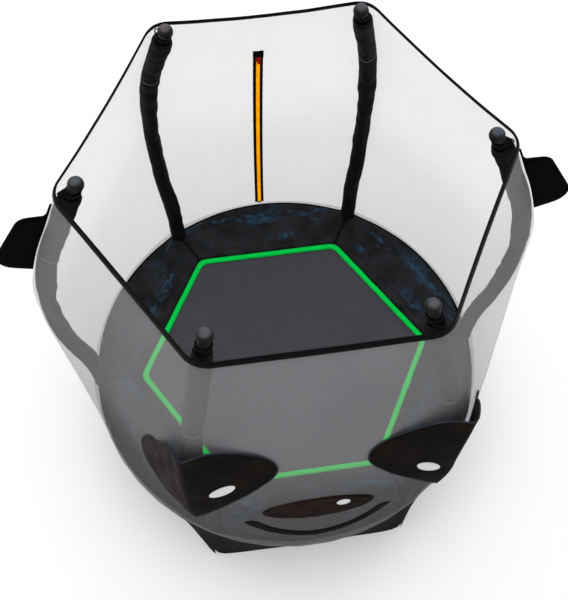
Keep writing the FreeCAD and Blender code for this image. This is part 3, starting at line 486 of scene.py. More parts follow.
def make(name, verts, faces, material, uvs):
    """A smooth mesh object in the row frame, with its cloth coordinates in metres and its faces outward."""
    mesh = bpy.data.meshes.new(name)
    mesh.from_pydata([tuple(map(float, v)) for v in verts], [], faces)
    layer = mesh.uv_layers.new(name="cloth")
    index = np.empty(len(mesh.loops), np.int32)
    mesh.loops.foreach_get("vertex_index", index)
    layer.data.foreach_set("uv", np.asarray(uvs, np.float32)[index].ravel())
    mesh.materials.append(material)
    mesh.polygons.foreach_set("use_smooth", np.ones(len(mesh.polygons), bool))
    mesh.validate()
    shape = bmesh.new()
    shape.from_mesh(mesh)
    bmesh.ops.recalc_face_normals(shape, faces=shape.faces)
    shape.to_mesh(mesh)
    shape.free()
    obj = bpy.data.objects.new(name, mesh)
    bpy.context.scene.collection.objects.link(obj)
    return obj


def worn(piece, slot, *nodes, body="enclosure"):
    """Puts a piece on its body, and in place of the CAD nodes that it shows; its slot is not used."""
    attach(piece, body)
    if nodes:
        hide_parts(*nodes)
    return piece


def grid_faces(rows, columns, round_rows=False, round_columns=False, keep=None, start=0):
    """Quads over a grid whose points run along the columns first."""
    faces = []
    for i in range(rows if round_rows else rows - 1):
        for j in range(columns if round_columns else columns - 1):
            if keep is None or keep(i, j):
                below, beside = (i + 1) % rows, (j + 1) % columns
                faces.append((start + i * columns + j, start + i * columns + beside,
                              start + below * columns + beside, start + below * columns + j))
    return faces


def shell_faces(faces, count, rim):
    """A layer of faces, its twin a count of points on, and the strip that joins their rims."""
    twin = [tuple(count + i for i in face) for face in faces]
    return faces + twin + [(a, count + a, count + b, b) for a, b in zip(rim, rim[1:] + rim[:1])]


def grid_shell(rows, columns):
    """Faces of two equal grids, one over the other, joined round their edges."""
    last = (rows - 1) * columns
    rim = [*range(columns), *range(2 * columns - 1, last + columns, columns),
           *range(last + columns - 2, last - 1, -1), *range(last - columns, 0, -columns)]
    return shell_faces(grid_faces(rows, columns), rows * columns, rim)


def swept(name, rings, material, closed=False):
    """A closed-section bar through rings of points, with flat ends if it is open."""
    rings = np.asarray(rings, float)
    count, around = rings.shape[:2]
    faces = grid_faces(count, around, round_rows=closed, round_columns=True)
    if not closed:
        faces += [tuple(range(around)), tuple(range((count - 1) * around, count * around))]
    steps = np.linalg.norm(np.diff(rings.mean(1), axis=0), axis=1)
    along = np.concatenate([[0], np.cumsum(steps)])
    girth = np.linalg.norm(rings[0] - np.roll(rings[0], 1, axis=0), axis=1).sum()
    uvs = [(a, girth * j / around) for a in along for j in range(around)]
    return make(name, rings.reshape(-1, 3), faces, material, uvs)


def joined(name, parts):
    """Several mesh objects as one."""
    verts, faces, uvs = [], [], []
    for part in parts:
        start = len(verts)
        own = [(0.0, 0.0)] * len(part.data.vertices)
        for loop, item in zip(part.data.loops, part.data.uv_layers["cloth"].data):
            own[loop.vertex_index] = tuple(item.uv)
        verts += [tuple(v.co) for v in part.data.vertices]
        faces += [tuple(start + i for i in p.vertices) for p in part.data.polygons]
        uvs += own
    material = parts[0].data.materials[0]
    for part in parts:
        bpy.data.objects.remove(part)
    return make(name, verts, faces, material, uvs)


def cord_rings(points, radius, closed, up=(0, 0, 1), around=10):
    """Round rings along a line of points."""
    points = np.asarray(points, float)
    if closed:
        heading = np.roll(points, -1, axis=0) - np.roll(points, 1, axis=0)
    else:
        heading = np.gradient(points, axis=0)
    heading /= np.linalg.norm(heading, axis=1, keepdims=True)
    side = np.cross(np.asarray(up, float), heading)
    side /= np.linalg.norm(side, axis=1, keepdims=True)
    rise = np.cross(heading, side)
    turns = circle(around)[:, None]
    return points[:, None] + radius * (side[:, None] * np.cos(turns) + rise[:, None] * np.sin(turns))


def turned(points, degrees):
    a = math.radians(degrees)
    spin = np.array([[math.cos(a), -math.sin(a), 0], [math.sin(a), math.cos(a), 0], [0, 0, 1]])
    return np.asarray(points, float) @ spin.T


def smooth_outline(points):
    """A closed smooth line through corner points, as a dense outline."""
    points = np.asarray(points, float)
    count = len(points)
    out = []
    for i in range(count):
        p0, p1, p2, p3 = (points[(i + k) % count] for k in (-1, 0, 1, 2))
        for s in np.linspace(0, 1, 8, endpoint=False):
            out.append(0.5 * (2 * p1 + (p2 - p0) * s + (2 * p0 - 5 * p1 + 4 * p2 - p3) * s ** 2
                              + (3 * p1 - p0 - 3 * p2 + p3) * s ** 3))
    return np.array(out)


def to_outline(points, outline):
    """Distance of points from the nearest side of a closed outline."""
    way = np.roll(outline, -1, axis=0)[None] - outline[None]
    gap = points[:, None] - outline[None]
    share = np.clip((gap * way).sum(2) / np.maximum((way ** 2).sum(2), 1e-12), 0, 1)
    return np.linalg.norm(gap - share[..., None] * way, axis=2).min(1)


def inside(points, outline):
    x, y = points[:, 0][:, None], points[:, 1][:, None]
    x0, y0 = outline[:, 0], outline[:, 1]
    x1, y1 = np.roll(x0, -1), np.roll(y0, -1)
    crossing = (y0 > y) != (y1 > y)
    slope = np.where(y1 == y0, 1e-12, y1 - y0)
    return ((x < (x1 - x0) * (y - y0) / slope + x0) & crossing).sum(1) % 2 == 1


def cut_out(outline, step):
    """Points and triangles that fill an outline, its rim, and each point's distance from it."""
    low, high = outline.min(0), outline.max(0)
    xs = np.arange(low[0] + step / 2, high[0], step)
    ys = np.arange(low[1] + step / 2, high[1], step)
    grid = np.array([(x + (step / 2 if j % 2 else 0), y) for j, y in enumerate(ys) for x in xs])
    grid = grid[inside(grid, outline)]
    grid = grid[to_outline(grid, outline) > step * 0.45]
    rim = list(range(len(outline)))
    verts = [Vector(p) for p in (*outline, *grid)]
    edges = list(zip(rim, rim[1:] + rim[:1]))
    points, _, faces, *_ = delaunay_2d_cdt(verts, edges, [tuple(rim)], 1, 1e-7)
    points = np.array([tuple(p) for p in points])
    away = to_outline(points, outline)
    away[rim] = 0.0
    return points, [tuple(f) for f in faces], rim, away


def plate(name, outline, step, place, thick, edge, puff, material):
    """A flat form on a surface, whose face rises over a width from a thin edge to a thickness."""
    points, triangles, rim, away = cut_out(outline, step)
    high = edge + (thick - edge) * dome(np.clip(away / puff, 0, 1))
    verts = [place(x, y, h) for (x, y), h in zip(points, high)] + [place(x, y, 0.0) for x, y in points]
    return make(name, verts, shell_faces(triangles, len(points), rim), material, [*points, *points])


# Poles

FIRST_Z = POLE_STRAIGHT_TOP_Z + POLE_OUT_R * math.sin(POLE_OUT_LEAN)
FIRST_R = CORNER_R + POLE_OUT_R * (1 - math.cos(POLE_OUT_LEAN))
BOW_R = FIRST_R - POLE_IN_R * math.cos(POLE_OUT_LEAN)
BOW_Z = FIRST_Z + POLE_IN_R * math.sin(POLE_OUT_LEAN)
LAST_Z = BOW_Z + POLE_IN_R * math.sin(POLE_TOP_LEAN)
LAST_R = BOW_R + POLE_IN_R * math.cos(POLE_TOP_LEAN)


def pole_radius(z):
    """Distance of a pole's middle line from the upright axis at a height."""
    if z <= FIRST_Z:
        return CORNER_R + POLE_OUT_R - math.sqrt(POLE_OUT_R ** 2 - max(0.0, z - POLE_STRAIGHT_TOP_Z) ** 2)
    if z <= LAST_Z:
        return BOW_R + math.sqrt(POLE_IN_R ** 2 - (z - BOW_Z) ** 2)
    return LAST_R - (z - LAST_Z) * math.tan(POLE_TOP_LEAN)


def pole_lean(z):
    return math.atan2(pole_radius(z + 0.001) - pole_radius(z - 0.001), 0.002)


def pole_point(z, turn, radius, lift=0.0):
    """A point round the pole's line on +X, whose turn 0 faces outward."""
    lean = pole_lean(z)
    out = radius * math.cos(turn)
    return (pole_radius(z) + lift * math.sin(lean) + out * math.cos(lean), radius * math.sin(turn),
            z + lift * math.cos(lean) - out * math.sin(lean))


def sleeve_size(z, seed, full):
    """The cover's even radius: close below, loose above a fold, and full in the upper length."""
    if z > SLEEVE_SEAM_Z:
        return full
    fold_z = SLEEVE_FOLD_Z + 0.030 * math.sin(seed * 3)
    return SLEEVE_CLOSE_R + (SLEEVE_LOOSE_R - SLEEVE_CLOSE_R) * smooth_step(z, fold_z - 0.008, fold_z + 0.030)


def net_room(z):
    """Distance square to a pole's middle line from it to the inside of the net beside it."""
    return (net_crease(z) - pole_radius(z)) * COS_HALF * math.cos(pole_lean(z)) - 0.0016


def sleeve_radius(z, turn, seed, size, room):
    """The cover's radius: lumps and slanting folds that lie on the inside, away from the net."""
    inward = 0.5 - 0.5 * math.cos(turn)
    x, y = math.cos(turn), math.sin(turn)
    lump = grain(x * 0.8 + seed, y * 0.8, z * 8.5)
    pinch = grain(x * 0.4 + seed * 3, y * 0.4, z * 24.0 + 0.35 * math.sin(turn + seed))
    gather = 1 - abs(2 * grain(seed * 7, x * 0.32, z * 25.0 + 1.3 * math.cos(turn - seed)))
    busy = max(0.0, grain(seed * 5, 0.3, z * 3.2) + 0.25)
    bulge = 0.0068 * lump + 0.0040 * pinch + 0.0036 * busy * (gather - 0.6)
    return min(size + bulge * (0.22 + 0.78 * inward), room + 0.020 * smooth_step(inward, 0.35, 0.8))


def sleeve_rings(low, high, seed, full, pull_low, pull_high, collar):
    """Rings round the pole, drawn in at the ends, with an open collar at the top one."""
    turns = circle(32)
    placed = []
    for z in np.linspace(low, high, int((high - low) / SLEEVE_RING_STEP) + 1):
        pull = pull_low * (1 - smooth_step(z - low, 0.0, 0.010))
        pull += pull_high * (1 - smooth_step(high - z, 0.0, 0.010))
        size, room = sleeve_size(z, seed, full), net_room(z)
        placed.append([pole_point(z, t, sleeve_radius(z, t, seed, size, room) - pull) for t in turns])
    if collar:
        wave = 0.0012 * np.sin(2 * turns + seed)
        placed += [[pole_point(high, t, radius, lift + w) for t, w in zip(turns, wave)]
                   for lift, radius in COLLAR]
    return placed


def make_sleeves():
    for k, name in enumerate(CORNER_NAMES):
        seed = 1.7 + 2.3 * k
        full = SIDE_SLEEVE_FULL_R if name in ("right", "left") else SLEEVE_FULL_R
        low = sleeve_rings(SLEEVE_FOOT_Z, SLEEVE_SEAM_Z, seed, full, 0.0, 0.0056, False)
        top = sleeve_rings(SLEEVE_SEAM_Z + 0.0006, SLEEVE_TOP_Z, seed + 0.9, full, 0.0012, 0.0032, True)
        for part, rings, nodes in (("_low", low, ["foam_sleeve_" + name]), ("_top", top, [])):
            sleeve = swept("sleeve_" + name + part, turned(rings, k * SIDE_DEG), SLEEVE_CLOTH)
            worn(sleeve, "sleeve_cover", *nodes)
        ring = cord_rings(turned(top[0], k * SIDE_DEG), 0.0012, True, around=8)
        worn(swept("sleeve_seam_" + name, ring, SEAM_THREAD, closed=True), "sleeve_cover")


# Net

def net_arc(z):
    return NET_BULGE_R - NET_ARC_R + math.sqrt(NET_ARC_R ** 2 - (z - NET_BULGE_Z) ** 2)


def net_middle(z):
    """Inner radius of the net halfway between two poles."""
    share = np.clip((z - NET_ARC_TOP_Z) / (NET_TOP_Z - NET_ARC_TOP_Z), 0, 1.05)
    low = np.clip((z - NET_FOOT_Z) / 0.050, 0, 1)
    top = net_arc(NET_TOP_Z) - NET_TOP_MIDDLE_R
    return NET_BOTTOM_R + (net_arc(z) - NET_BOTTOM_R) * low - top * share ** 2


def net_crease(z):
    """Inner radius of the net where it folds round a pole."""
    if z <= SLEEVE_FOOT_Z:
        rise = max(0.0, z - NET_FOOT_Z) / (SLEEVE_FOOT_Z - NET_FOOT_Z)
        return NET_BOTTOM_R + (CORNER_R + NET_OFF_POLE - NET_BOTTOM_R) * rise
    spread = 0.0197 * np.clip((z - NET_SPREAD_Z) / (NET_TOP_Z - NET_SPREAD_Z), 0, 1) ** 1.4
    slack = 0.0047 * smooth_step(z, 0.93, 1.03) - 0.0017 * smooth_step(z, 1.15, 1.27)
    slack += 0.0045 * bell(z - 1.10, 0.075)
    return pole_radius(z) + NET_OFF_POLE + spread + slack


def level_arc(middle, crease):
    """Centre and signed radius of the arc across one panel at a level."""
    half = crease * SIN_HALF
    rise = middle - crease * COS_HALF
    rise = 1e-5 if abs(rise) < 1e-5 else rise
    radius = (half ** 2 + rise ** 2) / (2 * rise)
    return middle - radius, radius


def rounded_polar(centre, radius, degrees, width):
    """Radius at an azimuth of six arcs whose corners are rounded over a width in radians."""
    turn = abs(math.radians(degrees % SIDE_DEG) - HALF)
    side = math.copysign(1.0, radius)

    def reach(angle):
        return centre * math.cos(angle) + side * math.sqrt(radius ** 2 - (centre * math.sin(angle)) ** 2)

    root = math.sqrt(radius ** 2 - (centre * SIN_HALF) ** 2)
    slope = abs(centre * SIN_HALF * (1 + side * centre * COS_HALF / root))
    soft = max(2 * slope * width, 1e-6)
    near, far = reach(turn), reach(2 * HALF - turn)
    share = max(soft - abs(near - far), 0) / soft
    return min(near, far) - share ** 2 * soft / 4


def drape(degrees, z):
    """A little slack in the net, still at its edges, its creases and its zip."""
    turn = abs(degrees % SIDE_DEG - 30.0)
    calm = smooth_step(z, 0.30, 0.42) * (1 - smooth_step(z, 1.40, 1.55)) * (1 - smooth_step(turn, 22.0, 29.0))
    if abs(degrees % 360.0 - REAR_DEG) < 12.0:
        calm *= smooth_step(turn, 2.0, 12.0)
    x, y, _ = polar(7.0, degrees, z)
    return calm * (0.0022 * grain(*polar(2.2, degrees, z * 1.9 + 4.0)) + 0.0012 * grain(x + 3.0, y, z * 3.0))


def top_sag(degrees):
    """How far the net's top edge hangs down between two poles."""
    return RIM_SAG * (1 - ((degrees % SIDE_DEG - 30.0) / 30.0) ** 2)


def wall_point(degrees, z, off):
    """A point at a distance outside the net's inner face."""
    width = CREASE_WIDTH + (TOP_CREASE_WIDTH - CREASE_WIDTH) * smooth_step(z, NET_SPREAD_Z, NET_TOP_Z)
    r = rounded_polar(*level_arc(net_middle(z), net_crease(z)), degrees, width) + off + drape(degrees, z)
    return polar(r, degrees, z - top_sag(degrees) * smooth_step(z, NET_SAG_Z, NET_TOP_Z))


def wall_depth(across, z):
    """How far out the net's inner face lies, by its level place across a panel."""
    centre, radius = level_arc(net_middle(z), net_crease(z))
    return centre + math.copysign(math.sqrt(radius ** 2 - across ** 2), radius)


def panel_point(panel_deg, across, z, off):
    """A point at a distance outside the net's inner face, by its level place across a panel."""
    centre, radius = level_arc(net_middle(z), net_crease(z))
    depth = wall_depth(across, z)
    share = (off + drape(panel_deg + math.degrees(math.atan2(across, depth)), z)) / radius
    return turned((depth + share * (depth - centre), across + share * across, z), panel_deg)


def make_net():
    levels = sorted([NET_LOW_Z, 0.310, 0.325, 0.340, 0.348, ZIP_LOW_Z, 0.361, 0.368, 0.385, ZIP_TOP_Z,
                     *np.linspace(0.400, 1.350, 58), *np.linspace(1.362, RIM_LOW_Z + 0.006, 16)])
    columns = [30.0 - 30.0 * math.cos(math.pi * i / 30) for i in range(30)]
    azimuths = sorted([SIDE_DEG * k + t for k in range(1, SIDES + 1) for t in columns]
                      + [SIDE_DEG + 360.0, REAR_DEG - ZIP_SLOT_DEG, REAR_DEG + ZIP_SLOT_DEG])
    verts = [wall_point(a, z, 0.001) for z in levels for a in azimuths]
    uvs = [(math.radians(a) * 0.715, z) for z in levels for a in azimuths]

    def keep(i, j):
        off_zip = abs((azimuths[j] + azimuths[j + 1]) / 2 - REAR_DEG)
        return off_zip >= ZIP_SLOT_DEG or not ZIP_LOW_Z - 1e-6 < levels[i] < ZIP_TOP_Z - 1e-6

    net = make("net", verts, grid_faces(len(levels), len(azimuths), keep=keep), NET_CLOTH, uvs)
    return worn(net, "net_mesh", *["net_" + name for name in PANEL_NAMES])


def band_rings(radius_of, low, high, thick, count, crown=0.5, wave=0.0, lean=0.0, drop=lambda degrees: 0.0):
    """Rounded sections of a band round the axis, where radius_of gives its middle line."""
    rings = []
    for i in range(count):
        degrees = 360.0 * i / count
        r = radius_of(degrees)
        level = (low + high) / 2 + wave * grain(*polar(6, degrees, 2.0)) - drop(degrees)
        ring = []
        for turn in circle(14):
            across, up = (math.copysign(abs(part) ** crown, part) * size / 2
                          for part, size in ((math.cos(turn), thick), (math.sin(turn), high - low)))
            out = r + across * math.cos(lean) - up * math.sin(lean)
            ring.append(polar(out, degrees, level + up * math.cos(lean) + across * math.sin(lean)))
        rings.append(ring)
    return rings


def rim_radius(degrees):
    return rounded_polar(*level_arc(NET_TOP_MIDDLE_R, RIM_CORNER_R), degrees, TOP_CREASE_WIDTH) + 0.001


def hem_radius(degrees):
    return NET_BOTTOM_R + 0.001 + 0.0007 * math.sin(math.radians(degrees) * 41)


def make_bands(net):
    rim = band_rings(rim_radius, RIM_LOW_Z, RIM_HIGH_Z + 0.001, 0.0080, 360, crown=0.7, wave=0.0012,
                     lean=RIM_LEAN, drop=top_sag)
    rim = worn(swept("rim_band", rim, RIM_TAPE, closed=True), "rim_webbing", "rim_hem")
    hem = band_rings(hem_radius, NET_HEM_LOW_Z, NET_LOW_Z, 0.0040, 240, wave=0.0010)
    hem = worn(swept("net_low_hem", hem, NET_HEM_CLOTH, closed=True), "hem_webbing", "net_bottom_hem")


def make_tie_cords():
    """A loop of cord from under each ball cap to the rim's corner, and its turns round the neck."""
    z = 0.5 * (RIM_LOW_Z + RIM_HIGH_Z)
    loop = NECK_R / math.cos(POLE_TOP_LEAN) + 0.0023
    end = 0.0050
    reach = RIM_CORNER_R - 0.078 * (1 / COS_HALF - 1) - 0.007 / COS_HALF - end - 0.0023
    turn = math.acos((loop - end) / (reach - pole_radius(z)))

    def arc(middle, radius, level, turns):
        return [(middle + radius * math.cos(a), radius * math.sin(a), level) for a in turns]

    line = np.array(arc(pole_radius(z), loop, z, np.linspace(turn, 2 * math.pi - turn, 26))
                    + arc(reach, end, z, np.linspace(-turn, turn, 9)))
    line[:, 2] += np.sin(np.linspace(0, 4 * math.pi, len(line))) * 0.0006
    lines = [(line, 0.0020)]
    for z, thick in ((1.5650, 0.0019), (1.5732, 0.0021), (1.5778, 0.0022)):
        lines.append((arc(pole_radius(z), loop, z, circle(30)), thick))
    cords = [swept("tie_cord", cord_rings(turned(line, k * SIDE_DEG), thick, True), CORD, closed=True)
             for line, thick in lines for k in range(SIDES)]
    worn(joined("tie_cord_loops", cords), "tie_cord", "tie_cords")


# Bed

def make_mat():
    rings, around = 26, 96
    plan = [(0.0, 0.0)] + [polar(MAT_R * i / rings, 360.0 * j / around, 0.0)[:2]
                           for i in range(1, rings + 1) for j in range(around)]
    top = [(x, y, MAT_TOP_Z + 0.0008 * grain(x * 5, y * 5, 0.4) * (1 - math.hypot(x, y) / MAT_R))
           for x, y in plan]
    low = [(x, y, z - (MAT_TOP_Z - MAT_LOW_Z)) for x, y, z in top]
    faces = [(0, 1 + j, 1 + (j + 1) % around) for j in range(around)]
    faces += grid_faces(rings, around, round_columns=True, start=1)
    faces = shell_faces(faces, len(top), list(range(len(top) - around, len(top))))
    mat = make("jump_mat_cloth", top + low, faces, MAT_CLOTH, plan * 2)
    worn(mat, "mat_cloth", "jump_mat", body="bed")
    hem = band_rings(lambda degrees: MAT_R - 0.013, HEM_LOW_Z, MAT_LOW_Z - 0.0005, 0.026, 180, crown=0.35)
    hem = worn(swept("mat_webbing", hem, WEBBING, closed=True), "mat_webbing", "mat_hem", body="bed")


def make_straps():
    """Elastic loops from the mat's edge round the ring tube."""
    middle_r, half_thick, half_wide = 0.0154, 0.00105, 0.011
    start = np.array((MAT_R + 0.0005, MAT_TOP_Z - 0.0012))
    last = np.array((MAT_R + 0.0005, HEM_LOW_Z + 0.0012))
    turns = np.linspace(math.pi / 2, -math.pi / 2 - 0.16, 14)
    arc = np.stack([CORNER_R + middle_r * np.cos(turns), RING_Z + middle_r * np.sin(turns)], axis=1)
    line = np.array([*[start + (arc[0] - start) * s for s in (0, 0.33, 0.66)], *arc,
                     *[arc[-1] + (last - arc[-1]) * s for s in (0.33, 0.66, 1.0)]])
    way = np.gradient(line, axis=0)
    way /= np.linalg.norm(way, axis=1, keepdims=True)
    side = np.stack([-way[:, 1], way[:, 0]], axis=1) * half_thick
    section = [(-1, -0.9), (-0.5, -1), (0.5, -1), (1, -0.9), (1, 0.9), (0.5, 1), (-0.5, 1), (-1, 0.9)]
    rings = [[(p[0] + n[0] * h, w * half_wide, p[1] + n[1] * h) for w, h in section]
             for p, n in zip(line, side)]
    for k in range(STRAP_COUNT):
        degrees = (k + 0.5) * 360.0 / STRAP_COUNT
        strap = swept("suspension_strap_%02d" % k, turned(rings, degrees), ELASTIC)
        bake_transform(strap)
        if k == 0:
            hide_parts("suspension_straps")


def pad_point(panel, u, v):
    """A point of a pad's top by its share across and along, and its place on the cloth."""
    t = v * (HALF - PAD_SEAM)
    near = np.array((PAD_INNER, PAD_INNER * math.tan(t)))
    reach = PAD_EDGE_R + (PAD_OUTER_R - PAD_EDGE_R) * bell((HALF - abs(t)) * CORNER_R, POST_WIDTH)
    far = np.array((reach * math.cos(t), reach * math.sin(t)))
    wide = np.linalg.norm(far - near)
    x, y = near + (far - near) * u
    side = (1 - abs(v)) * (HALF - PAD_SEAM) * math.hypot(x, y)
    rise = 1.0
    for gap, width in ((u * wide, 0.026), ((1 - u) * wide, 0.040), (side, 0.012)):
        rise *= dome(min(1.0, gap / width)) * 0.85 + 0.15
    stitch = 0.0032 * bell(u * wide - 0.038, 0.0030)
    pucker = 0.0009 * grain(x * 14, y * 14, panel + 0.5) + 0.0005 * grain(x * 60, y * 60, panel)
    high = PAD_HIGH * rise - stitch + pucker * min(1.0, rise * 1.2)
    return (x, y, PAD_Z + max(0.002, min(high, PAD_HIGH))), (u * wide, math.atan2(y, x) * 0.6 + panel * 0.7)


def make_pads():
    """Stuffed vinyl segments with a stitched inner band and a drawn-in edge all round."""
    across = stations((0, 0.03, 5), (0.05, 0.14, 8), (0.17, 0.20, 4), (0.25, 0.9, 14), (0.92, 1.0, 7))
    along = stations((-1, -0.93, 6), (-0.9, 0.9, 49), (0.93, 1, 6))
    faces = grid_shell(len(across), len(along))
    for panel, name in enumerate(PANEL_NAMES):
        top, uvs = zip(*[pad_point(panel, u, v) for u in across for v in along])
        top = np.array(top)
        for sign in (-1, 1):
            post = np.array((CORNER_R * COS_HALF, sign * CORNER_R * SIN_HALF))
            gap = top[:, :2] - post
            far = np.linalg.norm(gap, axis=1)
            close = far < PAD_POST_ROOM
            way = np.where(far[:, None] > 1e-6, gap / np.maximum(far[:, None], 1e-6), (-1.0, 0.0))
            top[close, :2] = (post + way * PAD_POST_ROOM)[close]
        low = top * (1, 1, 0) + (0, 0, PAD_Z)
        verts = turned([*top, *low], panel * SIDE_DEG + 30.0)
        pad = make("pad_cushion_" + name, verts, faces, PAD_COVER, uvs * 2)
        worn(pad, "pad_vinyl", "pad_" + name)
    piping = []
    for k in range(SIDES):
        shares = np.linspace(0, 1, 12)
        radii = PIPING_IN_R + (PIPING_OUT_R - PIPING_IN_R) * shares
        line = [(r, 0.0006 * math.sin(r * 90 + k), PAD_Z + 0.0078 + 0.0035 * math.sin(s * math.pi))
                for r, s in zip(radii, shares)]
        rings = cord_rings(turned(line, k * SIDE_DEG), 0.0022, False, around=8)
        piping.append(swept("piping", rings, WEBBING))
    worn(joined("pad_piping", piping), "pad_vinyl")


def make_trim():
    """The green binding, a soft band with rounded corners and a slightly uneven edge."""
    section = ((0.0, 0.0), (0.0, 0.45), (0.10, 0.80), (0.30, 0.97), (0.5, 1.0), (0.70, 0.97), (0.90, 0.80),
               (1.0, 0.45), (1.0, 0.0))
    rings = []
    for i in range(480):
        degrees = 360.0 * i / 480
        near, far = (rounded_polar(*level_arc(apothem, apothem / COS_HALF), degrees, 0.045)
                     + 0.0014 * grain(*polar(9, degrees, level))
                     for apothem, level in ((TRIM_IN, 0.0), (TRIM_OUT, 3.0)))
        high = 0.0095 + 0.0006 * grain(*polar(12, degrees, 7.0))
        rings.append([polar(near + (far - near) * s, degrees, PAD_Z + 0.0002 + high * h) for s, h in section])
    worn(swept("green_trim_band", rings, GREEN, closed=True), "green_trim", "pad_inner_trim")


# Skirts

def skirt_point(panel, s, up, layer):
    """A point of a hung panel by its share along and up, on its inner or outer layer."""
    half = SKIRT_R * SIN_HALF
    bottom = 0.010
    if panel % 2 == 0:
        corner = max(0.0, abs(s * half) - (half - SKIRT_CORNER_R))
        bottom = 0.004 + SKIRT_CORNER_R - math.sqrt(max(0.0, SKIRT_CORNER_R ** 2 - corner ** 2))
    z = bottom + (SKIRT_TOP_Z - bottom) * up
    on_ring = min(1.0, (z - 0.004) / (SKIRT_BAND_Z - 0.004))
    t = s * HALF
    tuck = 0.0070 * smooth_step(z, 0.334, 0.349) * (1 - bell((HALF - abs(t)) * CORNER_R, POST_WIDTH))
    ring = (SKIRT_R - tuck) * np.array((math.cos(t), math.sin(t)))
    flat = np.array((SKIRT_R * COS_HALF + SKIRT_BOW * (1 - s * s), s * half))
    loose = (1 - on_ring) ** 0.7 * (1 - smooth_step(abs(s), 0.90, 1.0))
    fold = 0.0045 * loose * (0.5 + 0.5 * grain(s * 3.1 + panel * 5, z * 1.5, 1.0))
    edge = (1 - abs(s)) * half
    pleat = 0.0016 * bell(edge - 0.016, 0.005) + 0.0012 * bell(edge - 0.034, 0.004)
    low_hem = 0.0008 if z - bottom < 0.014 or edge < 0.010 else 0.0
    off = layer + fold + (pleat + low_hem) * (1 - smooth_step(z, SKIRT_BAND_Z - 0.02, SKIRT_BAND_Z))
    return (*(flat + (ring - flat) * max(0.0, on_ring) + off * np.array((math.cos(t), math.sin(t)))), z)


def make_skirts():
    """Six hung panels, on the ring above and nearly flat below, with turned hems and loose folds."""
    shares = stations((-1, -0.9, 9), (-0.87, 0.87, 43), (0.9, 1, 9))
    ups = stations((0, 0.05, 5), (0.08, 0.78, 18), (0.80, 1.0, 8))
    faces = grid_shell(len(ups), len(shares))
    for panel, name in enumerate(PANEL_NAMES):
        inner, outer = ([skirt_point(panel, s, up, layer) for up in ups for s in shares]
                        for layer in (0.0001, 0.0015))
        uvs = [(y, z) for x, y, z in inner] * 2
        verts = turned(inner + outer, panel * SIDE_DEG + 30.0)
        skirt = make("skirt_panel_" + name, verts, faces, SKIRT_CLOTH, uvs)
        worn(skirt, "skirt_cloth", "skirt_" + name)


# Zip

def zip_point(across, z, inward):
    """A point on the rear panel's middle line, at a distance inside the net's inner face."""
    lean = math.asin((z - NET_BULGE_Z) / NET_ARC_R)
    r = NET_ARC_R - inward
    return across, NET_BULGE_R - NET_ARC_R + r * math.cos(lean), NET_BULGE_Z + r * math.sin(lean)


def zip_bars(name, section, levels, material):
    """A bar on each side of the zip's middle, whose corners a section gives at a height."""
    bars = []
    for side in (-1, 1):
        rings = [[zip_point(side * w, z, d) for w, d in section(z)][::side] for z in levels]
        bars.append(swept(name, rings, material))
    return joined(name, bars)


def tape_section(z):
    edge = ZIP_TAPE_HALF + 0.0003 * math.sin(z * 160)
    return ((0.0004, 0.0007), (edge, 0.0007), (edge, 0.0016), (edge - 0.0006, 0.0018), (0.0010, 0.0018),
            (0.0004, 0.0016))


def core_section(z):
    return (0.0005, 0.0018), (0.0058, 0.0018), (0.0058, 0.0031), (0.0046, 0.0035), (0.0005, 0.0035)


def make_zip():
    """Two tapes, a core in each coil, and the coil's turns, which meet in the middle."""
    tapes = zip_bars("zip_tape_pair", tape_section, np.linspace(ZIP_LOW_Z, ZIP_TOP_Z, 90), ZIP_TAPE)
    worn(tapes, "zip_tape", "zip_tapes")
    levels = np.linspace(ZIP_COIL_LOW_Z, ZIP_END_Z - 0.0002, 80)
    worn(zip_bars("zip_coil_cores", core_section, levels, COIL_PLASTIC), "zip_coil")
    verts, faces, uvs = [], [], []
    for side in (-1, 1):
        for i in range(int((ZIP_END_Z - ZIP_LOW_Z - 0.0065) / ZIP_COIL_PITCH)):
            z = ZIP_COIL_LOW_Z + ZIP_COIL_PITCH * (i + (0.25 if side > 0 else 0.75))
            ring = [len(verts) + 2 * k for k in range(6)]
            for w, d, h in ((0.0062, 0.0018, 0.0024), (0.0062, 0.0036, 0.0022), (0.0010, 0.0042, 0.0024),
                            (-0.0006, 0.0036, 0.0014), (-0.0006, 0.0024, 0.0014), (0.0010, 0.0018, 0.0024)):
                verts += [zip_point(side * w, z - h / 2, d), zip_point(side * w, z + h / 2, d)]
                uvs += [(w, z), (w, z)]
            faces += [(a, a + 1, b + 1, b) for a, b in zip(ring, ring[1:] + ring[:1])]
            faces += [tuple(ring[::-side]), tuple(a + 1 for a in ring[::side])]
    worn(make("zip_coil_teeth", verts, faces, COIL_PLASTIC, uvs), "zip_coil", "zip_coils")


# Ears and face

def rounded_corner(before, corner, after, radius, count):
    """Points round a corner that is cut by an arc."""
    a = (np.array(before) - corner) / np.linalg.norm(np.array(before) - corner)
    b = (np.array(after) - corner) / np.linalg.norm(np.array(after) - corner)
    half = math.acos(float(a @ b)) / 2
    centre = corner + (a + b) / np.linalg.norm(a + b) * radius / math.sin(half)
    first, last = (corner + way * radius / math.tan(half) - centre for way in (a, b))
    start, end = math.atan2(first[1], first[0]), math.atan2(last[1], last[0])
    turn = (end - start + math.pi) % (2 * math.pi) - math.pi
    return [tuple(centre + radius * np.array((math.cos(start + turn * s), math.sin(start + turn * s))))
            for s in np.linspace(0, 1, count)]


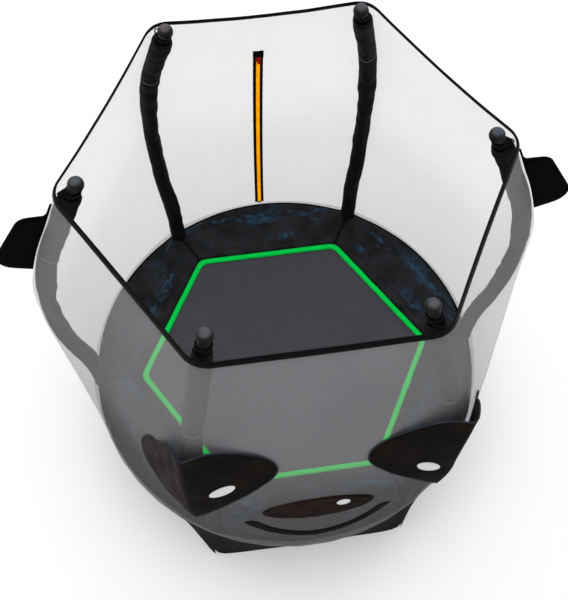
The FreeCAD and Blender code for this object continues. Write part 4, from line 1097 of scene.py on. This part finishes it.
def ear_outline():
    def net_side(z):
        return wall_point(0.0, z, 0.0020)[0]

    seat = [(net_side(z) + 0.0006, z) for z in np.linspace(1.194, 1.522, 28)]
    tab = [(seat[-1][0] + 0.0030, 1.5245), (seat[-1][0] + 0.0070, 1.5215), (net_side(1.480) + 0.0085, 1.480),
           (net_side(1.470) + 0.0150, 1.4705)]
    top, out = np.array((0.783, 1.470)), np.array((0.911, 1.240))
    line = seat + tab + rounded_corner(tab[-1], top, out, 0.050, 12)
    line += rounded_corner(top, out, seat[0], 0.060, 16)
    dense = []
    for p, q in zip(line, line[1:] + line[:1]):
        steps = max(1, int(math.dist(p, q) / 0.010))
        dense += [tuple(np.array(p) + (np.array(q) - p) * s / steps) for s in range(steps)]
    return np.array(dense)


def make_ears():
    """Flat stuffed plates with a stitched edge, in the plane of the side poles."""
    points, triangles, rim, away = cut_out(ear_outline(), 0.0085)
    share = np.clip(away / 0.016, 0, 1)
    puff = 0.0014 + 0.0044 * dome(share) - 0.0010 * bell(away - 0.009, 0.0025)
    faces = shell_faces(triangles, len(points), rim)
    for side, name in ((1, "ear_right"), (-1, "ear_left")):
        half = puff + np.array([0.0006 * grain(x * 16, z * 16, side) for x, z in points]) * share
        bend = [0.0015 * math.sin((z - 1.2) * 16 + side) * (x - 0.79) / 0.12 for x, z in points]
        verts = [(side * x, b + sign * h, z) for sign in (-1, 1) for (x, z), h, b in zip(points, half, bend)]
        ear = make(name + "_cushion", verts, faces, EAR_CLOTH, [*points, *points])
        worn(ear, "ear_cloth", name)


def patch_corner(z, lean):
    """How far out and across the patch's fold lies at a height."""
    crease = net_crease(min(z, PATCH_STAND_Z)) + lean * max(0.0, z - PATCH_STAND_Z)
    return crease * COS_HALF, crease * SIN_HALF


def patch_depth(across, z, lean):
    """How far out the patch's surface lies: on the net below, and standing off it above."""
    if z <= PATCH_STAND_Z:
        return wall_depth(across, z)
    tip = wall_depth(PATCH_TIP_X, z)
    corner_x, corner_y = patch_corner(z, lean)
    stand = corner_x - tip
    middle = (corner_x ** 2 + corner_y ** 2 - tip ** 2 - PATCH_TIP_X ** 2) / (2 * stand)
    reach = math.hypot(middle - tip, PATCH_TIP_X)
    return middle - math.copysign(math.sqrt(reach ** 2 - across ** 2), stand)


def patch_point(fold, z, off, lean):
    """A point on the left eye patch, at a level distance from its fold that is negative in front."""
    soft = 0.016

    def on_side(distance):
        across = patch_corner(z, lean)[1] - abs(distance)
        slope = (patch_depth(across + 0.002, z, lean) - patch_depth(across - 0.002, z, lean)) / 0.004
        out = np.array((1.0, -slope)) / math.hypot(1.0, slope)
        x, y = np.array((patch_depth(across, z, lean), across)) + out * off
        return turned((x, -y, z), FRONT_DEG) if distance < 0 else turned((x, y, z), FRONT_DEG - SIDE_DEG)

    if abs(fold) >= soft:
        return on_side(fold)
    tip = turned((math.hypot(*patch_corner(z, lean)) + off / COS_HALF, 0, z), FRONT_DEG - 30.0)
    share = (fold + soft) / (2 * soft)
    return on_side(-soft) * (1 - share) ** 2 + tip * 2 * share * (1 - share) + on_side(soft) * share ** 2


def patch_sag(fold, z, side):
    return 0.0016 * grain(fold * 9 + side, z * 9, 0.5)


PATCH_FRONT = ((0.396, 1.258), (0.355, 1.260), (0.325, 1.253), (0.280, 1.231), (0.235, 1.202), (0.190, 1.168),
               (0.156, 1.130), (0.138, 1.091), (0.135, 1.057), (0.144, 1.023), (0.171, 0.981), (0.218, 0.921),
               (0.270, 0.867), (0.328, 0.800), (0.375, 0.733))
PATCH_SIDE = ((0.389, 1.284), (0.364, 1.277), (0.332, 1.231), (0.294, 1.152), (0.262, 1.106), (0.237, 1.092),
              (0.205, 1.039), (0.185, 0.980), (0.179, 0.930), (0.183, 0.876), (0.204, 0.829), (0.232, 0.790),
              (0.263, 0.743), (0.320, 0.705), (0.365, 0.690))


def make_patches():
    """Two folded eye patches with a rolled edge, standing off the net above."""
    for side, name, rise in ((-1, "left", 0.0), (1, "right", 0.026)):
        lean, mirror = PATCH_LEAN[side], np.array((-side, 1.0, 1.0))
        front = [(x - patch_corner(z, lean)[1], z) for x, z in PATCH_FRONT]
        flank = [(patch_corner(z, lean)[1] - x, z) for x, z in PATCH_SIDE]
        outline = smooth_outline([(0.0, 1.262)] + flank + [(0.0, 0.686)] + front[::-1])
        outline[:, 1] += rise * smooth_step(outline[:, 1], 1.10, 1.26) * bell(outline[:, 0], 0.10)

        def place(fold, z, high):
            sag = patch_sag(fold, z, side) + 0.0007 * grain(fold * 3, z * 70, side)
            return patch_point(fold, z, PATCH_LOW + high + sag * min(1.0, high * 400), lean) * mirror

        patch = plate("eye_patch_cloth_" + name, outline, 0.011, place, PATCH_THICK, 0.0022, 0.008,
                      PATCH_CLOTH)
        worn(patch, "patch_cloth", "eye_patch_" + name)
        line = [patch_point(fold, z, PATCH_LOW + 0.0016, lean) * mirror for fold, z in outline]
        # The roll's light colour is a painted highlight all round the patch.
        roll = cord_rings(line, 0.0026, True, up=(0.31, 0.2, 0.93), around=8)
        roll = worn(swept("eye_patch_edge_" + name, roll, ROLLED_EDGE_HIGHLIGHT, closed=True), "patch_cloth")


def ellipse(x, z, half_w, half_h, tilt=0.0, count=64):
    turns, a = circle(count), math.radians(tilt)
    spin = np.array([[math.cos(a), math.sin(a)], [-math.sin(a), math.cos(a)]])
    return np.array((x, z)) + np.stack([half_w * np.cos(turns), half_h * np.sin(turns)], 1) @ spin


def mouth_outline():
    """A band along an arc that opens upward, with round ends."""
    half_w, end_z, low_z, half = 0.216, 0.600, 0.450, 0.025
    radius = (half_w ** 2 + (end_z - low_z) ** 2) / (2 * (end_z - low_z))
    half_turn = math.asin(half_w / radius)

    def arc(r, turns):
        return [(r * math.sin(t), low_z + radius - r * math.cos(t)) for t in turns]

    def cap(step):
        t = step * half_turn
        along = step * np.array((math.cos(t), math.sin(t)))
        down = step * np.array((math.sin(t), -math.cos(t)))
        return [tuple(arc(radius, [t])[0] + half * (down * math.cos(s) + along * math.sin(s)))
                for s in np.linspace(0, math.pi, 9)[1:-1]]

    turns = np.linspace(-half_turn, half_turn, 60)
    return np.array(arc(radius + half, turns) + cap(1) + arc(radius - half, turns)[::-1] + cap(-1))


def make_features():
    """Pupils on the patches, and the nose, its glint and the mouth on the front panel."""
    def on_net(off):
        return lambda x, z, high: panel_point(FRONT_DEG, x, z, off + high)

    def on_patch(x, z, high):
        side = 1 if x > 0 else -1
        fold = abs(x) - patch_corner(z, PATCH_LEAN[side])[1]
        off = PATCH_LOW + PATCH_THICK + 0.0003 + patch_sag(fold, z, side) + high
        return patch_point(fold, z, off, PATCH_LEAN[side]) * np.array((-side, 1.0, 1.0))

    for name, outline, place, thick, material in (
        ("eye_left", ellipse(-0.303, 0.969, 0.049, 0.026, 43.0), on_patch, 0.0012, WHITE_CLOTH),
        ("eye_right", ellipse(0.327, 0.940, 0.049, 0.026, -48.0), on_patch, 0.0012, WHITE_CLOTH),
        ("nose", ellipse(-0.004, 0.720, 0.179, 0.081, count=96), on_net(0.0023), 0.0050, NOSE_CLOTH),
        ("nose_glint", ellipse(0.074, 0.748, 0.022, 0.022), on_net(0.0076), 0.0012, WHITE_CLOTH),
        ("mouth", mouth_outline(), on_net(0.0023), 0.0030, MOUTH_CLOTH),
    ):
        step = 0.009 if name == "mouth" else 0.006
        slot = "white_cloth" if material == WHITE_CLOTH else "patch_cloth"
        worn(plate(name + "_cloth", outline, step, place, thick, 0.0006, 0.0045, material), slot, name)


# What the CAD shows as it is

def dress_frame():
    for material, names in ((POLE_STEEL, ["pole_" + name for name in CORNER_NAMES]),
                            (BALL_PLASTIC, ["ball_caps"]),
                            (FRAME_STEEL, ["ring_tubes", "leg_right_rear", "leg_left_rear", "leg_front"]),
                            (SOCKET_PLASTIC, ["corner_sockets"]),
                            (FOOT_RUBBER, ["rubber_feet"]),
                            (BOLT_STEEL, ["socket_bolts"]),
                            (STOP_BLACK, ["zip_stops"]),
                            (SLIDER_RED, ["zip_slider", "zip_pull"])):
        for name in names:
            slots = NODES[name].material_slots
            if not slots:
                NODES[name].data.materials.append(material)
            for slot in slots:
                slot.material = material


# Stage

def make_floor():
    size = 14.0
    mesh = bpy.data.meshes.new("floor")
    corners = [(-size, -size, 0), (size, -size, 0), (size, size, 0), (-size, size, 0)]
    mesh.from_pydata(corners, [], [(0, 1, 2, 3)])
    floor = bpy.data.objects.new("floor", mesh)
    bpy.context.scene.collection.objects.link(floor)
    paper = bpy.data.materials.new("floor_paper")
    paper.use_nodes = True
    tree = paper.node_tree
    tree.nodes.clear()
    camera_ray = add_node(tree, "LightPath").outputs["Is Camera Ray"]
    seen = add_node(tree, "Math", {0: camera_ray, 1: 0.24}, operation="MULTIPLY")
    glow = add_node(tree, "Emission", {"Strength": seen.outputs["Value"]})
    diffuse = add_node(tree, "BsdfDiffuse", {"Color": (0.80, 0.80, 0.80, 1.0)})
    both = add_node(tree, "AddShader", {0: diffuse.outputs["BSDF"], 1: glow.outputs["Emission"]})
    add_node(tree, "OutputMaterial", {"Surface": both.outputs["Shader"]})
    mesh.materials.append(paper)
    floor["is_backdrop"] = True


def make_lights():
    world = bpy.data.worlds.new("studio")
    world.use_nodes = True
    bpy.context.scene.world = world
    tree = world.node_tree
    path = add_node(tree, "LightPath").outputs
    rays = enumerate(path[name] for name in ("Is Camera Ray", "Is Transmission Ray"))
    seen = add_node(tree, "Math", rays, operation="MAXIMUM")
    level = add_node(tree, "MapRange", {"Value": seen.outputs["Value"], "To Min": 0.80, "To Max": 1.0})
    back = tree.nodes["Background"]
    back.inputs["Color"].default_value = (1.0, 1.0, 1.0, 1.0)
    feed(tree, back.inputs["Strength"], level.outputs["Result"])

    for name, place, size, power, tint in (
        ("overhead", (-0.5, 0.5, 5.2), 3.8, 79.0, (1.0, 1.0, 1.0)),
        ("cool_side", (3.4, 2.2, 3.6), 1.6, 24.0, (0.72, 0.86, 1.0)),
        ("warm_side", (-3.6, -1.6, 3.2), 1.6, 13.0, (1.0, 0.88, 0.78)),
    ):
        lamp = bpy.data.lights.new(name, "AREA")
        lamp.size = size
        lamp.energy = power
        lamp.color = tint
        light = bpy.data.objects.new(name, lamp)
        light.location = place
        light.rotation_euler = (Vector((0, 0, 0.6)) - Vector(place)).to_track_quat("-Z", "Y").to_euler()
        bpy.context.scene.collection.objects.link(light)


def make_camera():
    """The photo's camera: its azimuth, elevation, roll, place and lens."""
    azimuth, elevation, roll = (math.radians(a) for a in (-9.40, 61.04, 1.01))
    back = Vector((math.sin(azimuth) * math.cos(elevation), -math.cos(azimuth) * math.cos(elevation),
                   math.sin(elevation)))
    level = Vector((math.cos(azimuth), math.sin(azimuth), 0.0))
    above = back.cross(level)
    right = level * math.cos(roll) + above * math.sin(roll)
    up = above * math.cos(roll) - level * math.sin(roll)
    data = bpy.data.cameras.new("camera")
    data.sensor_fit = "AUTO"
    data.sensor_width = 36.0
    data.lens = 68.0
    camera = bpy.data.objects.new("camera", data)
    turn = Matrix((right, up, back)).transposed()
    camera.matrix_world = Matrix.Translation((-0.3156, -1.8536, 4.1896)) @ turn.to_4x4()
    bpy.context.scene.collection.objects.link(camera)
    bpy.context.scene.camera = camera


make_camera()
make_floor()
make_lights()
dress_frame()
make_sleeves()
make_bands(make_net())
make_tie_cords()
make_mat()
make_straps()
make_pads()
make_trim()
make_skirts()
make_zip()
make_ears()
make_patches()
make_features()

bpy.context.scene.view_settings.view_transform = "Standard"
boxes = {"cad": CAD_BOX, "visual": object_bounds()}
{key: [[float(n) for n in corner] for corner in box] for key, box in boxes.items()}
